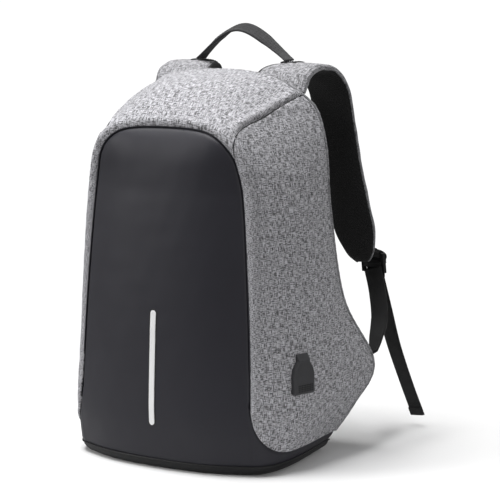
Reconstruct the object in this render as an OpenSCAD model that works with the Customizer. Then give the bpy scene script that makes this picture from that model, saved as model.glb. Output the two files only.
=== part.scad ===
// Anti-theft laptop backpack: a padded shell that opens along its back, a hinged back panel with
// laptop sleeve, carry handle and two shoulder straps, and a charging port low on the right side.
// The front faces -Y, the wearer's back is at +Y, and the base stands on Z = 0.

/* [Body] */
// Height of the top edge at the back
body_height = 448; // [440:1:456]
// Width across the two wing tips low on the sides
wing_span = 328; // [320:1:334]
// Depth from the front panel to the back panel at mid height
body_depth = 158; // [154:1:162]
// Thickness of the outer fabric
fabric = 1; // [0.8:0.1:1.2]
// Thickness of the foam behind the outer fabric
foam = 5; // [4:0.5:5.5]

/* [Front panel] */
// Length of the reflective strip
strip_length = 131; // [120:1:140]
// Width of the reflective strip
strip_width = 7; // [6:0.5:8]
// Radius of the piping round the front panel
piping_radius = 1.6; // [1.2:0.1:1.8]

/* [Charging port] */
// Height of the port housing
port_height = 46; // [44:1:50]
// Width of the port housing
port_width = 32; // [30:1:34]
// How far the port housing stands off the side
port_depth = 7; // [6:0.5:8]

/* [Straps and handle] */
// Thickness of a shoulder strap pad
strap_thickness = 11; // [9:0.5:12]
// Width of the adjusting webbing
webbing_width = 25; // [22:1:26]
// Thickness of the webbing
webbing_thickness = 1.6; // [1.4:0.1:1.8]
// Width of the carry handle
handle_width = 24; // [22:1:26]

/* [Laptop sleeve] */
// Clear depth for the laptop
sleeve_depth = 24; // [20:1:26]
// Wall thickness of the sleeve
sleeve_wall = 3; // [2:0.5:3]

/* [Hidden] */
$fn = 32;

// The lines below are drawn for this nominal body and stretched to the driving sizes.
stretch = [wing_span / 328, body_depth / 158, body_height / 448];
function fit(p) = [p.x * stretch.x, p.y * stretch.y, p.z * stretch.z];

// Eight sections from the base edge up: base, skirt, wing tip, waist, chest, arch, crown, ridge.
front_line = [[0, -86, 12], [0, -93, 60], [0, -91, 118], [0, -86, 208],
    [0, -77, 310], [0, -65, 378], [0, -13, 429], [0, 52, 448]];
corner_line = [[113, -63, 12], [115, -69, 58], [113, -66, 117], [108, -62, 209],
    [99, -57, 315], [87, -57, 377], [98, -1, 402], [104, 62, 420]];
rear_line = [[126, 94, 12], [149, 114, 54], [164, 135, 102], [149, 86, 184],
    [138, 72, 292], [132, 73, 359], [119, 75, 402], [105, 66, 421]];
spine_line = [[0, 84, 12], [0, 106, 54], [0, 128, 102], [0, 86, 184],
    [0, 72, 292], [0, 72, 360], [0, 70, 408], [0, 56, 447]];
// Which way the cloth runs as it rounds each section's front corner
corner_run = [[.92, .4, 0], [.92, .4, 0], [.92, .4, 0], [.92, .4, 0],
    [.92, .38, -.1], [.86, .35, -.38], [.75, .15, -.6], [.72, 0, -.68]];
top_section = 7;
hinge_section = 2;
ridge_bow = 2.8; // power of the curve along the ridge
// The front panel's arch leaves the corner seams at one section and crowns at the next
arch_start = 4.5;
arch_crown = 5.18;
arch_power = 1.9;

seam_gap = .005; // share of a panel left free at each seam
shell_depth = fabric + foam;
layer_gap = .2;
hinge_y = 135;
hinge_z = 102;
black = "#39383d";
grey = "#8e8d90";
mesh_black = "#141413";
liner = "#3b3f46";

function slope(line, i) = i == 0 ? line[1] - line[0]
    : i == len(line) - 1 ? line[i] - line[i - 1] : (line[i + 1] - line[i - 1]) / 2;
// Smooth curve through the points of a line, one unit of v for each
function curve(line, v) = let (i = max(0, min(floor(v), len(line) - 2)), t = v - i)
    (2 * t^3 - 3 * t^2 + 1) * line[i] + (t^3 - 2 * t^2 + t) * slope(line, i)
    + (3 * t^2 - 2 * t^3) * line[i + 1] + (t^3 - t^2) * slope(line, i + 1);
function unit(a) = a / norm(a);
function bezier(a, b, c, d, t) =
    (1 - t)^3 * a + 3 * t * (1 - t)^2 * b + 3 * t^2 * (1 - t) * c + t^3 * d;
function flip_x(p) = [-p.x, p.y, p.z];

// Front and crown: s runs from -1 at the left corner through 0 to 1 at the right corner
function front_half(v, s) = let (f = curve(front_line, v), c = curve(corner_line, v),
        run = unit(curve(corner_run, v)))
    bezier(f, f + [.55 * c.x, 0, 0], c - run * .3 * c.x, c, s);
function front_at(v, s) = fit(s < 0 ? flip_x(front_half(v, -s)) : front_half(v, s));

// Right side: q runs from 0 at the front corner to 1 at the rear edge
function side_at(v, q) = let (c = curve(corner_line, v), b = curve(rear_line, v),
        d = norm(b - c), chord = (b - c) / d, w = max(0, min(1, (v - 4.5) / 1.5)),
        leave = unit(unit(curve(corner_run, v)) * (1 - w) + chord * w),
        arrive = unit([-.06, 1, 0] * (1 - w) + chord * w))
    fit(bezier(c, c + leave * min(40, .4 * d), b - arrive * .3 * d, b, q));

// Back: r runs from -1 at the left rear edge to 1 at the right rear edge
function rear_at(v, r) = let (b = curve(rear_line, v), m = curve(spine_line, v))
    fit([r * b.x, m.y + (b.y - m.y) * r^2, m.z + (b.z - m.z) * abs(r)^ridge_bow]);

step = .01;
function front_normal(v, s) = let (e = s > 0 ? -step : step, g = v > 3 ? -step : step)
    unit(cross(front_at(v, s + e) - front_at(v, s), front_at(v + g, s) - front_at(v, s)) * sign(e * g));
function side_normal(v, q) = let (e = q > .5 ? -step : step, g = v > 3 ? -step : step)
    unit(cross(side_at(v, q + e) - side_at(v, q), side_at(v + g, q) - side_at(v, q)) * sign(e * g));
function rear_normal(v, r) = let (e = r > 0 ? -step : step, g = v > 3 ? -step : step)
    -unit(cross(rear_at(v, r + e) - rear_at(v, r), rear_at(v + g, r) - rear_at(v, r)) * sign(e * g));
// Along the corner seam both panels share one mitred direction
function seam_normal(v) = let (a = front_normal(v, 1), b = side_normal(v, 0)) (a + b) / (1 + a * b);

function front_skin(v, s, depth) = front_at(v, s)
    - depth * (abs(s) > .99 ? (s > 0 ? seam_normal(v) : flip_x(seam_normal(v))) : front_normal(v, s));
function side_skin(v, q, depth) = side_at(v, q)
    - depth * (q < .01 ? seam_normal(v) : side_normal(v, q));
function rear_skin(v, r, depth) = rear_at(v, r) - depth * rear_normal(v, r);

// Closed solid between an outer and an inner grid of points
module slab(outer, inner) {
    rows = len(outer);
    cols = len(outer[0]);
    n = rows * cols;
    mid = floor(rows / 2) - 1;
    lift = outer[mid][0] - inner[mid][0];
    turned = cross(outer[mid + 1][0] - outer[mid][0], outer[mid][1] - outer[mid][0]) * lift < 0;
    skin = [for (i = [0 : rows - 2], j = [0 : cols - 2]) let (a = i * cols + j)
        each [[a, a + 1, a + cols + 1], [a, a + cols + 1, a + cols]]];
    edge = concat([for (j = [0 : cols - 2]) [j, j + 1]],
        [for (i = [0 : rows - 2]) [(i + 1) * cols - 1, (i + 2) * cols - 1]],
        [for (j = [cols - 1 : -1 : 1]) [n - cols + j, n - cols + j - 1]],
        [for (i = [rows - 1 : -1 : 1]) [i * cols, (i - 1) * cols]]);
    rim = [for (e = edge) each [[e[1], e[0], e[0] + n], [e[1], e[0] + n, e[1] + n]]];
    faces = concat(skin, [for (f = skin) [f[2] + n, f[1] + n, f[0] + n]], rim);
    polyhedron([for (row = concat(outer, inner)) each row],
        turned ? [for (f = faces) [f[2], f[1], f[0]]] : faces);
}

// Closed solid through a row of rings with the same number of points
module skin_rings(rings) {
    m = len(rings[0]);
    last = (len(rings) - 1) * m;
    walls = [for (i = [0 : len(rings) - 2], j = [0 : m - 1])
        let (a = i * m + j, b = i * m + (j + 1) % m) each [[a, b, b + m], [a, b + m, a + m]]];
    caps = concat([for (j = [1 : m - 2]) [0, j + 1, j]],
        [for (j = [1 : m - 2]) [last, last + j, last + j + 1]]);
    polyhedron([for (ring = rings) each ring], concat(walls, caps));
}

// Round cord along a list of points
module tube(path, radius, sides = 6) {
    n = len(path) - 1;
    skin_rings([for (i = [0 : n])
        let (t = unit(path[min(i + 1, n)] - path[max(i - 1, 0)]),
            a = unit(cross(t, abs(t.y) < .9 ? [0, 1, 0] : [0, 0, 1])), b = cross(a, t))
        [for (k = [0 : sides - 1]) path[i]
            + radius * (cos(360 * k / sides) * a + sin(360 * k / sides) * b)]]);
}

function share(n) = [for (i = [0 : n]) i / n];
s_columns = [for (i = [-8 : 8]) (1 - seam_gap) * sin(90 * i / 8)];
function arch(s) = arch_start + (arch_crown - arch_start) * (1 - abs(s)^arch_power)^(1 / arch_power);
function front_grid(depth) = [for (i = share(12)) [for (s = s_columns)
    front_skin((arch(s) - seam_gap) * i, s, depth)]];
function crown_grid(depth) = [for (i = share(6)) [for (s = s_columns)
    let (low = arch(s) + seam_gap) front_skin(low + (6.98 - low) * i, s, depth)]];
// The black base cloth turns up round the front corner of each side, in a quarter of an ellipse
wrap_low = .25;
wrap_corner = 1.44;
wrap_reach = .42;
function wrap_top(q) = wrap_low + (wrap_corner - wrap_low) * (1 - sqrt(1 - max(0, 1 - q / wrap_reach)^2));
side_columns = [for (j = share(7)) seam_gap + (.99 - seam_gap) * j^1.25];
foam_columns = [for (q = side_columns) min(q, .975)];
function side_row(low, high, i, depth, columns) = [for (q = columns)
    side_skin(low * (wrap_top(q) + seam_gap) * (1 - i)
        + (high > 0 ? high : wrap_top(q) - seam_gap) * i, q, depth)];
side_top = 6.8;
function side_grid(depth, columns = side_columns) =
    [for (i = share(11)) side_row(1, side_top, i, depth, columns)];
function wrap_grid(depth, columns = side_columns) =
    [for (i = share(3)) side_row(0, 0, i, depth, columns)];
function side_foam_grid(depth) = let (low = wrap_grid(depth, foam_columns))
    concat([for (i = [0 : 2]) low[i]], side_grid(depth, foam_columns));

module front_panel() color(black) slab(front_grid(0), front_grid(fabric));
module front_foam() color("dimgray") slab(front_grid(fabric + layer_gap), front_grid(shell_depth));
module crown_panel() color(grey) slab(crown_grid(0), crown_grid(fabric));
module crown_foam() color("dimgray") slab(crown_grid(fabric + layer_gap), crown_grid(shell_depth));
module side_panel() color(grey) slab(side_grid(0), side_grid(fabric));
module side_foam() color("dimgray")
    slab(side_foam_grid(fabric + layer_gap), side_foam_grid(shell_depth));
module base_wrap() color(black) slab(wrap_grid(0), wrap_grid(fabric));

// The loop of the lowest section, from the left rear edge round the front to the right rear edge
base_loop = concat([for (q = [1 : -.2 : .2]) flip_x(side_at(0, q))],
    [for (i = [-6 : 6]) front_at(0, sin(90 * i / 6))], [for (q = [.2 : .2 : 1]) side_at(0, q)],
    [for (r = [.75 : -.25 : -.75]) rear_at(0, r)]);
base_round = 11.5;
function base_ring(angle) = let (inset = base_round * (1 - cos(angle)))
    [for (p = base_loop) [p.x * (1 - inset / 120), p.y * (1 - inset / 90),
        base_round * (1 - sin(angle))]];
module base_panel() color(black) skin_rings([for (angle = [0 : 30 : 90]) base_ring(angle)]);
module base_board() color("gray") translate([0, 0, base_round + .5])
    linear_extrude(2) polygon([for (p = base_loop) .89 * [p.x, p.y]]);

hem = shell_depth + 1.2;
function rear_grid(low, high, inset, depth, rows, cols = 10) = [for (i = share(rows))
    let (v = low + (high - low) * i, reach = 1 - inset / curve(rear_line, v).x)
    [for (j = share(cols)) rear_skin(v, reach * (2 * j - 1), depth)]];
module lower_back_panel() color(mesh_black)
    slab(rear_grid(.02, 1.93, hem, 0, 5), rear_grid(.02, 1.93, hem, 5, 5));

// Piping: up the left corner seam, over the arch and down the right corner seam
arch_path = concat([for (v = [.1 : .45 : 3.9]) front_at(v, -1)],
    [for (i = [-9 : 9]) let (s = sin(90 * i / 9)) front_at(arch(s), s)],
    [for (v = [3.7 : -.45 : .1]) front_at(v, 1)]);
module front_piping() color(grey) tube([for (p = arch_path) p + [0, -piping_radius - .4, 0]],
    piping_radius);
base_path = concat([for (q = [.95 : -.25 : .2]) let (p = flip_x(side_at(0, q))) p],
    [for (i = [-7 : 7]) front_at(0, sin(90 * i / 7))], [for (q = [.2 : .25 : .95]) side_at(0, q)]);
module base_piping() color(black) tube([for (p = base_path)
    p + (piping_radius + 1.4) * unit([p.x, 2 * p.y, 0]) - [0, 0, .2]], piping_radius);

// Strip with round ends up the front centre line, from a low height to a high one
strip_low = 53;
function front_section(z) = lookup(z, [for (v = [0 : .25 : 5]) [front_at(v, 0).z, v]]);
end_angles = [for (a = [12 : 26 : 90]) a];
function strip_rows(width, length) = let (r = width / 2) concat(
    [for (a = end_angles) [r * (1 - cos(a)), r * sin(a)]],
    [for (i = [1 : 5]) [r + (length - width) * i / 6, r]],
    [for (a = [len(end_angles) - 1 : -1 : 0])
        [length - r * (1 - cos(end_angles[a])), r * sin(end_angles[a])]]);
function strip_at(base, row, side, lift) = let (v = front_section(base + row[0]),
        s = side * row[1] / (front_at(v, .01).x / .01))
    front_at(v, s) + lift * front_normal(v, s);
module front_strip(width, length, base, low, high) {
    rows = strip_rows(width, length);
    slab([for (row = rows) [for (side = [-1, 0, 1]) strip_at(base, row, side, high)]],
        [for (row = rows) [for (side = [-1, 0, 1]) strip_at(base, row, side, low)]]);
}
border = 1.5;
module strip_surround() color("black")
    front_strip(strip_width + 2 * border, strip_length + 2 * border, strip_low - border, .1, .5);
module reflective_strip() color("white") front_strip(strip_width, strip_length, strip_low, .6, 1.1);

// Charging port, drawn flat with its back on Z = 0 and its neck towards +Y, then laid on the side
port_section = 2.01;
port_share = .38;
port_out = side_normal(port_section, port_share);
port_up = unit([0, 0, 1] - port_out * port_out.z);
port_across = cross(port_up, port_out);
module on_port() {
    c = side_at(port_section, port_share);
    multmatrix([for (k = [0 : 2]) [port_across[k], port_up[k], port_out[k], c[k]]]) children();
}
socket_size = [13, 9, 5.2];
// The housing narrows above its middle and ends in a neck that slopes down to the cloth
neck_low = .34;
neck_share = .26;
edge_round = 1.6;
module port_outline(inset) offset(delta = -inset) scale([port_width, port_height]) polygon([
    [-.44, -.5], [.44, -.5], [.5, -.45], [.5, 0], [.45, .14], [neck_share, neck_low],
    [-neck_share, neck_low], [-.45, .14], [-.5, 0], [-.5, -.45]]);
module port_neck() let (half = neck_share * port_width) rotate([90, 0, 90]) translate([0, 0, -half])
    linear_extrude(2 * half) polygon([[0, 1], [port_height / 2, 1], [port_height / 2, 2.2],
        [neck_low * port_height, port_depth - .4], [0, port_depth - .4]]);
module usb_housing() color("#2b2b2e") on_port() difference() {
    union() {
        hull() {
            translate([0, 0, 1]) linear_extrude(port_depth - 1 - edge_round) port_outline(0);
            translate([0, 0, 1]) linear_extrude(port_depth - 1) port_outline(edge_round);
        }
        port_neck();
    }
    translate([-socket_size.x / 2 - .2, -port_height / 2 - 1, .8])
        cube([socket_size.x + .4, socket_size.y + 2, socket_size.z]);
}
module usb_socket() color("silver") on_port() difference() {
    translate([-socket_size.x / 2, -port_height / 2 + .8, 1]) cube(socket_size - [0, .8, .4]);
    translate([-socket_size.x / 2 + .5, -port_height / 2 + .6, 1.5])
        cube(socket_size - [1, 1.2, 1.4]);
}
module usb_tongue() color("white") on_port()
    translate([-5.6, -port_height / 2 + 1.5, 3.4]) cube([11.2, 6.6, 1.4]);
module usb_backplate() color("dimgray") on_port()
    translate([-14, -22, -shell_depth - 3.5]) cube([28, 44, 2]);

// Open-topped pocket: outer block less a shorter inner block
module pouch(size, wall) difference() {
    cube(size);
    translate([wall, wall, wall]) cube([size.x - 2 * wall, size.y - 2 * wall, size.z]);
}
module power_bank_pocket() color(liner) translate([84, -46, 26]) pouch([20, 84, 96], 1.5);
module organiser_pocket() color(liner) translate([-80, -72, 60]) rotate([-1.5, 0, 0])
    pouch([160, 17, 150], 1.5);

// Zip tapes follow the arched rim at a distance inside it
function ring_at(t, inset, lift) = let (top = top_section - inset / 40, low = hinge_section + .1,
        a = abs(t), v = a < .3 ? top : top - (top - low) * (a - .3) / .7,
        reach = 1 - inset / curve(rear_line, v).x, r = a < .3 ? reach * a / .3 : reach)
    rear_skin(v, sign(t) * r, -lift);
module zip_tape(from, to) slab(
    [for (i = [-17 : 17]) [for (d = [from, to]) ring_at(i / 17, d, 1.8)]],
    [for (i = [-17 : 17]) [for (d = [from, to]) ring_at(i / 17, d, 1)]]);
module zip_tape_shell() color("black") zip_tape(1.5, 9);
module zip_tape_back() color("black") zip_tape(10, 18);

// Sewn into the wing's tip, within reach of the hinge line
module wing_tab() color("black") translate(fit([150, hinge_y, hinge_z])) rotate([-25, 0, 0])
    translate([0, 3.9, -16]) cube([10, 1.8, 15]);

back_low = 2.09;
back_high = 6.66;
board_thickness = 1.6;
module back_panel() color(mesh_black)
    slab(rear_grid(back_low, back_high, 11, 0, 15), rear_grid(back_low, back_high, 11, 4, 15));
module back_board() color("gray")
    slab(rear_grid(back_low, back_high, 12, 4.2, 15),
        rear_grid(back_low, back_high, 12, 4.2 + board_thickness, 15));
pad_base = 1.2;
// Domed pad on the back panel between two sections and two widths
module pad(low, high, left, right, height) {
    function dome(i, j) = 2.5 + (height - 2.5) * (1 - abs(2 * i - 1)^3) * (1 - abs(2 * j - 1)^3);
    slab([for (i = share(8)) [for (j = share(6))
            rear_skin(low + (high - low) * i, left + (right - left) * j, -dome(i, j))]],
        [for (i = share(8)) [for (j = share(6))
            rear_skin(low + (high - low) * i, left + (right - left) * j, -pad_base)]]);
}
module back_pad() color(mesh_black) pad(3.35, 5.9, .12, .72, 12);
module lumbar_pad() color(mesh_black) pad(2.28, 2.7, -.62, .62, 9);

sleeve_low = 125;
sleeve_high = 372;
sleeve_back = 64.6;
sleeve_front = sleeve_back - sleeve_depth - 2 * sleeve_wall;
// Tapered block: half widths at the bottom and top, then depth and height limits
module tapered(low_half, high_half, y0, y1, z0, z1) translate([0, y1, 0]) rotate([90, 0, 0])
    linear_extrude(y1 - y0) polygon([[-low_half, z0], [low_half, z0], [high_half, z1], [-high_half, z1]]);
module laptop_sleeve() color(liner) difference() {
    tapered(122, 98, sleeve_front, sleeve_back, sleeve_low, sleeve_high);
    tapered(122 - sleeve_wall, 98 - sleeve_wall, sleeve_front + sleeve_wall,
        sleeve_back - sleeve_wall, sleeve_low + sleeve_wall, sleeve_high + 1);
}
module sleeve_strap() color("black") translate([-15, sleeve_front - 2.3, sleeve_high - 50])
    cube([30, 2, 62]);

// Band across the back that slips over a trolley handle
band_lift = 17;
function band_at(i, j, thick) = rear_skin(2.92 + .34 * i, .8 * (2 * j - 1),
    -pad_base - (band_lift - pad_base) * (1 - abs(2 * j - 1)^6) - thick);
module luggage_strap() color("black") slab([for (i = share(3)) [for (j = share(12)) band_at(i, j, 2)]],
    [for (i = share(3)) [for (j = share(12)) band_at(i, j, 0)]]);

// Right shoulder strap: centre points and half widths from the yoke over the top to the pad's tip
strap_line = [[68, 74, 426, 36], [70, 85, 441, 35], [73, 102, 448, 33], [77, 122, 449, 30],
    [82, 144, 443, 28], [87, 163, 420, 28], [90, 173, 378, 28], [93, 181, 332, 29],
    [99, 190, 286, 29], [106, 199, 244, 27], [112, 207, 209, 15]];
strap_end = len(strap_line) - 1;
function strap_frame(u) = let (e = .02, p = curve(strap_line, u), a = curve(strap_line, max(0, u - e)),
        b = curve(strap_line, min(strap_end, u + e)), t = unit([b.x - a.x, b.y - a.y, b.z - a.z]),
        w = unit([1, 0, 0] - t * t.x)) [p, w, cross(t, w) * -1];
// Point on the strap: across from -1 to 1, lift from the middle of its thickness outwards
function strap_at(u, across, lift) = let (f = strap_frame(u))
    fit([f[0].x, f[0].y, f[0].z] + across * f[0][3] * f[1] + lift * f[2]);
// Each strap swings about the line from the yoke to the wing tip, so the cut there is round
swing_top = fit([75, 112, 449]);
swing_low = fit([161, 139, 106]);
cut_radius = 34;
function cut_at(across, radius, low = 2.6, high = 5, n = 14) = let (mid = (low + high) / 2)
    n == 0 ? mid : norm(strap_at(mid, across, 0) - swing_top) < radius
        ? cut_at(across, radius, mid, high, n - 1) : cut_at(across, radius, low, mid, n - 1);
strap_columns = [-1, -.92, -.5, 0, .5, .92, 1];
// Pad edges are thinner than the pad's middle
function pad_edge(across) = abs(across) > .95 ? .45 : abs(across) > .9 ? .85 : 1;
function strap_grid(from, to, lift, rows) = [for (i = share(rows)) [for (a = strap_columns)
    let (start = from < 0 ? cut_at(a, cut_radius + 2.5) : from, stop = to < 0 ? cut_at(a, cut_radius) : to)
    strap_at(start + (stop - start) * i, a, lift * strap_thickness / 2 * pad_edge(a))]];
module strap_root() color(grey) slab(strap_grid(0, -1, 1, 8), strap_grid(0, -1, -1, 8));
module strap_cover() color(grey) slab(strap_grid(-1, strap_end, 1, 14), strap_grid(-1, strap_end, .1, 14));
module strap_mesh() color(mesh_black)
    slab(strap_grid(-1, strap_end, .06, 14), strap_grid(-1, strap_end, -1, 14));

// Flat webbing along a list of points, each [x, y, z, width, turn of the width about Z]
module webbing(line, rows, thickness) {
    n = len(line) - 1;
    function point(i, side, lift) = let (u = i * n, p = curve(line, u), a = curve(line, max(0, u - .05)),
            b = curve(line, min(n, u + .05)), t = unit([b.x - a.x, b.y - a.y, b.z - a.z]),
            w0 = [cos(p[4]), sin(p[4]), 0], w = unit(w0 - t * (t * w0)), m = cross(w, t))
        fit([p.x, p.y, p.z] + side * p[3] / 2 * w + lift * m);
    slab([for (i = share(rows)) [for (side = [-1, 0, 1]) point(i, side, thickness / 2)]],
        [for (i = share(rows)) [for (side = [-1, 0, 1]) point(i, side, -thickness / 2)]]);
}
webbing_line = [[122, 214, 200, webbing_width, -8], [131, 210, 170, webbing_width, -12],
    [141, 196, 142, webbing_width, -20], [151, 168, 122, 20, -30], [159, 146, 110, 12, -40]];
tail_line = [[123, 221, 190, webbing_width, -10], [132, 227, 150, webbing_width, -16],
    [142, 233, 105, webbing_width, -20], [155, 242, 58, webbing_width, -22],
    [168, 252, 14, webbing_width, -22]];
module strap_webbing() color("black") webbing(webbing_line, 12, webbing_thickness);
module strap_tail() color("black") webbing(tail_line, 10, webbing_thickness);

// Ladder lock at the pad's tip, drawn about the bar that the short loop holds
lock_at = [120, 218, 217];
lock_lean = 8;
lock_width = webbing_width + 9;
module on_lock() translate(fit(lock_at)) rotate([0, 0, -10]) rotate([lock_lean, 0, 0]) children();
module bar(radius) rotate([0, 90, 0]) cylinder(h = lock_width - 2, r = radius, center = true);
module ladder_lock() color("#1c1c1e") on_lock() {
    for (side = [-1, 1]) translate([side * (lock_width - 4) / 2, 0, -10]) cube([4, 5, 25], center = true);
    for (z = [0, -11, -21]) translate([0, 0, z]) bar(1.8);
}
module buckle_loop() color("black") on_lock() difference() {
    union() {
        rotate([0, 90, 0]) cylinder(h = webbing_width - 1, r = 3.6, center = true);
        rotate([50, 0, 0]) translate([-(webbing_width - 1) / 2, .2, 0]) cube([webbing_width - 1, 3.4, 13]);
    }
    rotate([0, 90, 0]) cylinder(h = webbing_width + 1, r = 2.1, center = true);
}

// Carry handle: webbing arch between the two strap roots, with a folded grip in the middle
handle_y = 112;
handle_half = 61;
handle_foot = 457.3;
handle_rise = 38;
handle_lean = .2; // how far the handle rests forward for each millimetre that it rises
handle_tilt = 16; // degrees that the band's width turns towards the front at its crown
crown_round = .45; // share of the half span over which the crown of the arch is rounded
crown_reach = sqrt(1 + crown_round^2);
arch_scale = handle_rise / (crown_reach - crown_round);
function handle_point(t, across, lift, trim) = let (reach = sqrt(t^2 + crown_round^2),
        z = arch_scale * (crown_reach - reach), n = unit([arch_scale * t / reach, 0, handle_half]),
        tilt = handle_tilt * (1 - t^2))
    fit([handle_half * t, handle_y - handle_lean * z, handle_foot + z] + lift * n
        + across * handle_width / 2 * [0, cos(tilt), sin(tilt)] + [0, 0, trim * abs(across)]);
// The feet are cut to a shallow point so that the handle can lean
foot_cut = 7.5;
function foot_trim(i) = let (a = abs(2 * i - 1)) foot_cut * (a > .99 ? 1 : a > .85 ? .5 : 0);
module arch_band(reach, across, low, high, cut) slab(
    [for (i = share(18)) [for (c = [-across, 0, across])
        handle_point(reach * (2 * i - 1), c, high, cut ? foot_trim(i) : 0)]],
    [for (i = share(18)) [for (c = [-across, 0, across])
        handle_point(reach * (2 * i - 1), c, low, cut ? foot_trim(i) : 0)]]);
module carry_handle() color("#26262a") arch_band(1, 1, -1.3, 1.3, true);
module handle_grip() color("#26262a") arch_band(.6, .8, 1.4, 3.4, false);
function patch_at(i, j, lift) = let (u = 2.2 + 1.05 * i, middle = curve(strap_line, u).x)
    strap_at(u, (handle_half - middle - 12 + 24 * j) / 33, strap_thickness / 2 + lift);
module handle_patch() color("black") slab([for (i = share(3)) [for (j = share(2)) patch_at(i, j, 1.1)]],
    [for (i = share(3)) [for (j = share(2)) patch_at(i, j, .1)]]);

// Zip slider and its pull tab on the straight stretch of the right-hand zip
slider_lift = 2.8;
slider_high = ring_at(.474, 9.5, slider_lift);
slider_low = ring_at(.735, 9.5, slider_lift);
track = unit(slider_high - slider_low);
slider_out = unit([0, 1, 0] - track * track.y);
slider_across = cross(slider_out, track);
module on_slider() multmatrix([for (k = [0 : 2])
    [slider_across[k], track[k], slider_out[k], slider_high[k]]]) children();
pin_radius = 1.1;
module zip_slider() color("#3a3a3c") on_slider() {
    difference() {
        translate([-4.5, -6, 0]) cube([9, 12, 2]);
        for (side = [-1, 1]) translate([side * 6.5, 7, -1]) rotate([0, 0, 45]) cube([6, 6, 4], center = true);
    }
    for (side = [-1, 1]) translate([side * 2.6 - .8, -3, 1.9]) cube([1.6, 6, 4]);
    translate([0, 0, 4.6]) rotate([0, 90, 0]) cylinder(h = 5.6, r = pin_radius, center = true);
}
module zip_pull() color("#2a2a2c") on_slider() translate([0, 0, 4.6]) difference() {
    union() {
        rotate([0, 90, 0]) cylinder(h = 3, r = 2.2, center = true);
        translate([-1.5, -8, -.9]) cube([3, 8, 1.8]);
        translate([-4, -34, -.9]) cube([8, 27, 1.8]);
    }
    rotate([0, 90, 0]) cylinder(h = 8, r = pin_radius + .05, center = true);
}

module left() mirror([1, 0, 0]) children();

front_panel();
front_foam();
crown_panel();
crown_foam();
left() side_panel();  // side_panel_left
side_panel();  // side_panel_right
left() side_foam();  // side_foam_left
side_foam();  // side_foam_right
left() base_wrap();  // base_wrap_left
base_wrap();  // base_wrap_right
base_panel();
base_board();
lower_back_panel();
front_piping();
base_piping();
reflective_strip();
strip_surround();
usb_housing();
usb_socket();
usb_tongue();
usb_backplate();
power_bank_pocket();
organiser_pocket();
zip_tape_shell();
left() wing_tab();  // wing_tab_left
wing_tab();  // wing_tab_right
back_panel();
back_board();
left() back_pad();  // back_pad_left
back_pad();  // back_pad_right
lumbar_pad();
zip_tape_back();
laptop_sleeve();
sleeve_strap();
luggage_strap();
left() strap_root();  // strap_root_left
strap_root();  // strap_root_right
left() handle_patch();  // handle_patch_left
handle_patch();  // handle_patch_right
carry_handle();
handle_grip();
left() strap_cover();  // strap_cover_left
strap_cover();  // strap_cover_right
left() strap_mesh();  // strap_mesh_left
strap_mesh();  // strap_mesh_right
left() strap_webbing();  // strap_webbing_left
strap_webbing();  // strap_webbing_right
left() buckle_loop();  // buckle_loop_left
buckle_loop();  // buckle_loop_right
left() ladder_lock();  // ladder_lock_left
ladder_lock();  // ladder_lock_right
left() strap_tail();  // strap_tail_left
strap_tail();  // strap_tail_right
zip_slider();
zip_pull();
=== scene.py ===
"""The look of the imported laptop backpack: cloth panels and seams, straps, handle, zips and fittings."""

import math

import bmesh
import bpy
import numpy as np
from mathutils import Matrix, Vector


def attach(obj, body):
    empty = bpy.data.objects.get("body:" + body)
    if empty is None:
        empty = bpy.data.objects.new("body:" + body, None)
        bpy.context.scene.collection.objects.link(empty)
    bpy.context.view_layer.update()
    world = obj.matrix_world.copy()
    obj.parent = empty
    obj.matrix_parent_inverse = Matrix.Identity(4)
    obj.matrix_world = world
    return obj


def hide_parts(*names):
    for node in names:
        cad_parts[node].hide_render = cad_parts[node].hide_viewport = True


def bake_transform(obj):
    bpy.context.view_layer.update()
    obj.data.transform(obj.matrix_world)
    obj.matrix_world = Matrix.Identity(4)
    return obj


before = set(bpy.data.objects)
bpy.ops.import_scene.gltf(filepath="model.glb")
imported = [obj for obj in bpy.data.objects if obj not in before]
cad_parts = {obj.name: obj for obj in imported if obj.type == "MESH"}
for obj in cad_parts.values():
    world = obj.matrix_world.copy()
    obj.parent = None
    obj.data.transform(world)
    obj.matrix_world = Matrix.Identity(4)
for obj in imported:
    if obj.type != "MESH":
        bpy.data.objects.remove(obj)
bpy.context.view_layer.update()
scene = bpy.context.scene
MM = 0.001
TAU = 2 * math.pi

# ---------------------------------------------------------------- the shape, in mm, as in the CAD source
FRONT = [[0, -86, 12], [0, -93, 60], [0, -91, 118], [0, -86, 208], [0, -77, 310], [0, -65, 378],
         [0, -13, 429], [0, 52, 448]]
CORNER = [[113, -63, 12], [115, -69, 58], [113, -66, 117], [108, -62, 209], [99, -57, 315], [87, -57, 377],
          [98, -1, 402], [104, 62, 420]]
REAR = [[126, 94, 12], [149, 114, 54], [164, 135, 102], [149, 86, 184], [138, 72, 292], [132, 73, 359],
        [119, 75, 402], [105, 66, 421]]
SPINE = [[0, 84, 12], [0, 106, 54], [0, 128, 102], [0, 86, 184], [0, 72, 292], [0, 72, 360], [0, 70, 408],
         [0, 56, 447]]
RUN = [[.92, .4, 0]] * 4 + [[.92, .38, -.1], [.86, .35, -.38], [.75, .15, -.6], [.72, 0, -.68]]
STRAP = [[68, 74, 426, 36], [70, 85, 441, 35], [73, 102, 448, 33], [77, 122, 449, 30], [82, 144, 443, 28],
         [87, 163, 420, 28], [90, 173, 378, 28], [93, 181, 332, 29], [99, 190, 286, 29], [106, 199, 244, 27],
         [112, 207, 209, 15]]
WEBBING = [[122, 214, 200, 25, -8], [131, 210, 170, 25, -12], [141, 196, 142, 25, -20],
           [151, 168, 122, 20, -30], [159, 146, 110, 12, -40]]
TAIL = [[123, 221, 190, 25, -10], [132, 227, 150, 25, -16], [142, 233, 105, 25, -20], [155, 242, 58, 25, -22],
        [168, 252, 14, 25, -22]]
TOP_SECTION, HINGE_SECTION, RIM_TOP = 7, 2, .3
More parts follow.
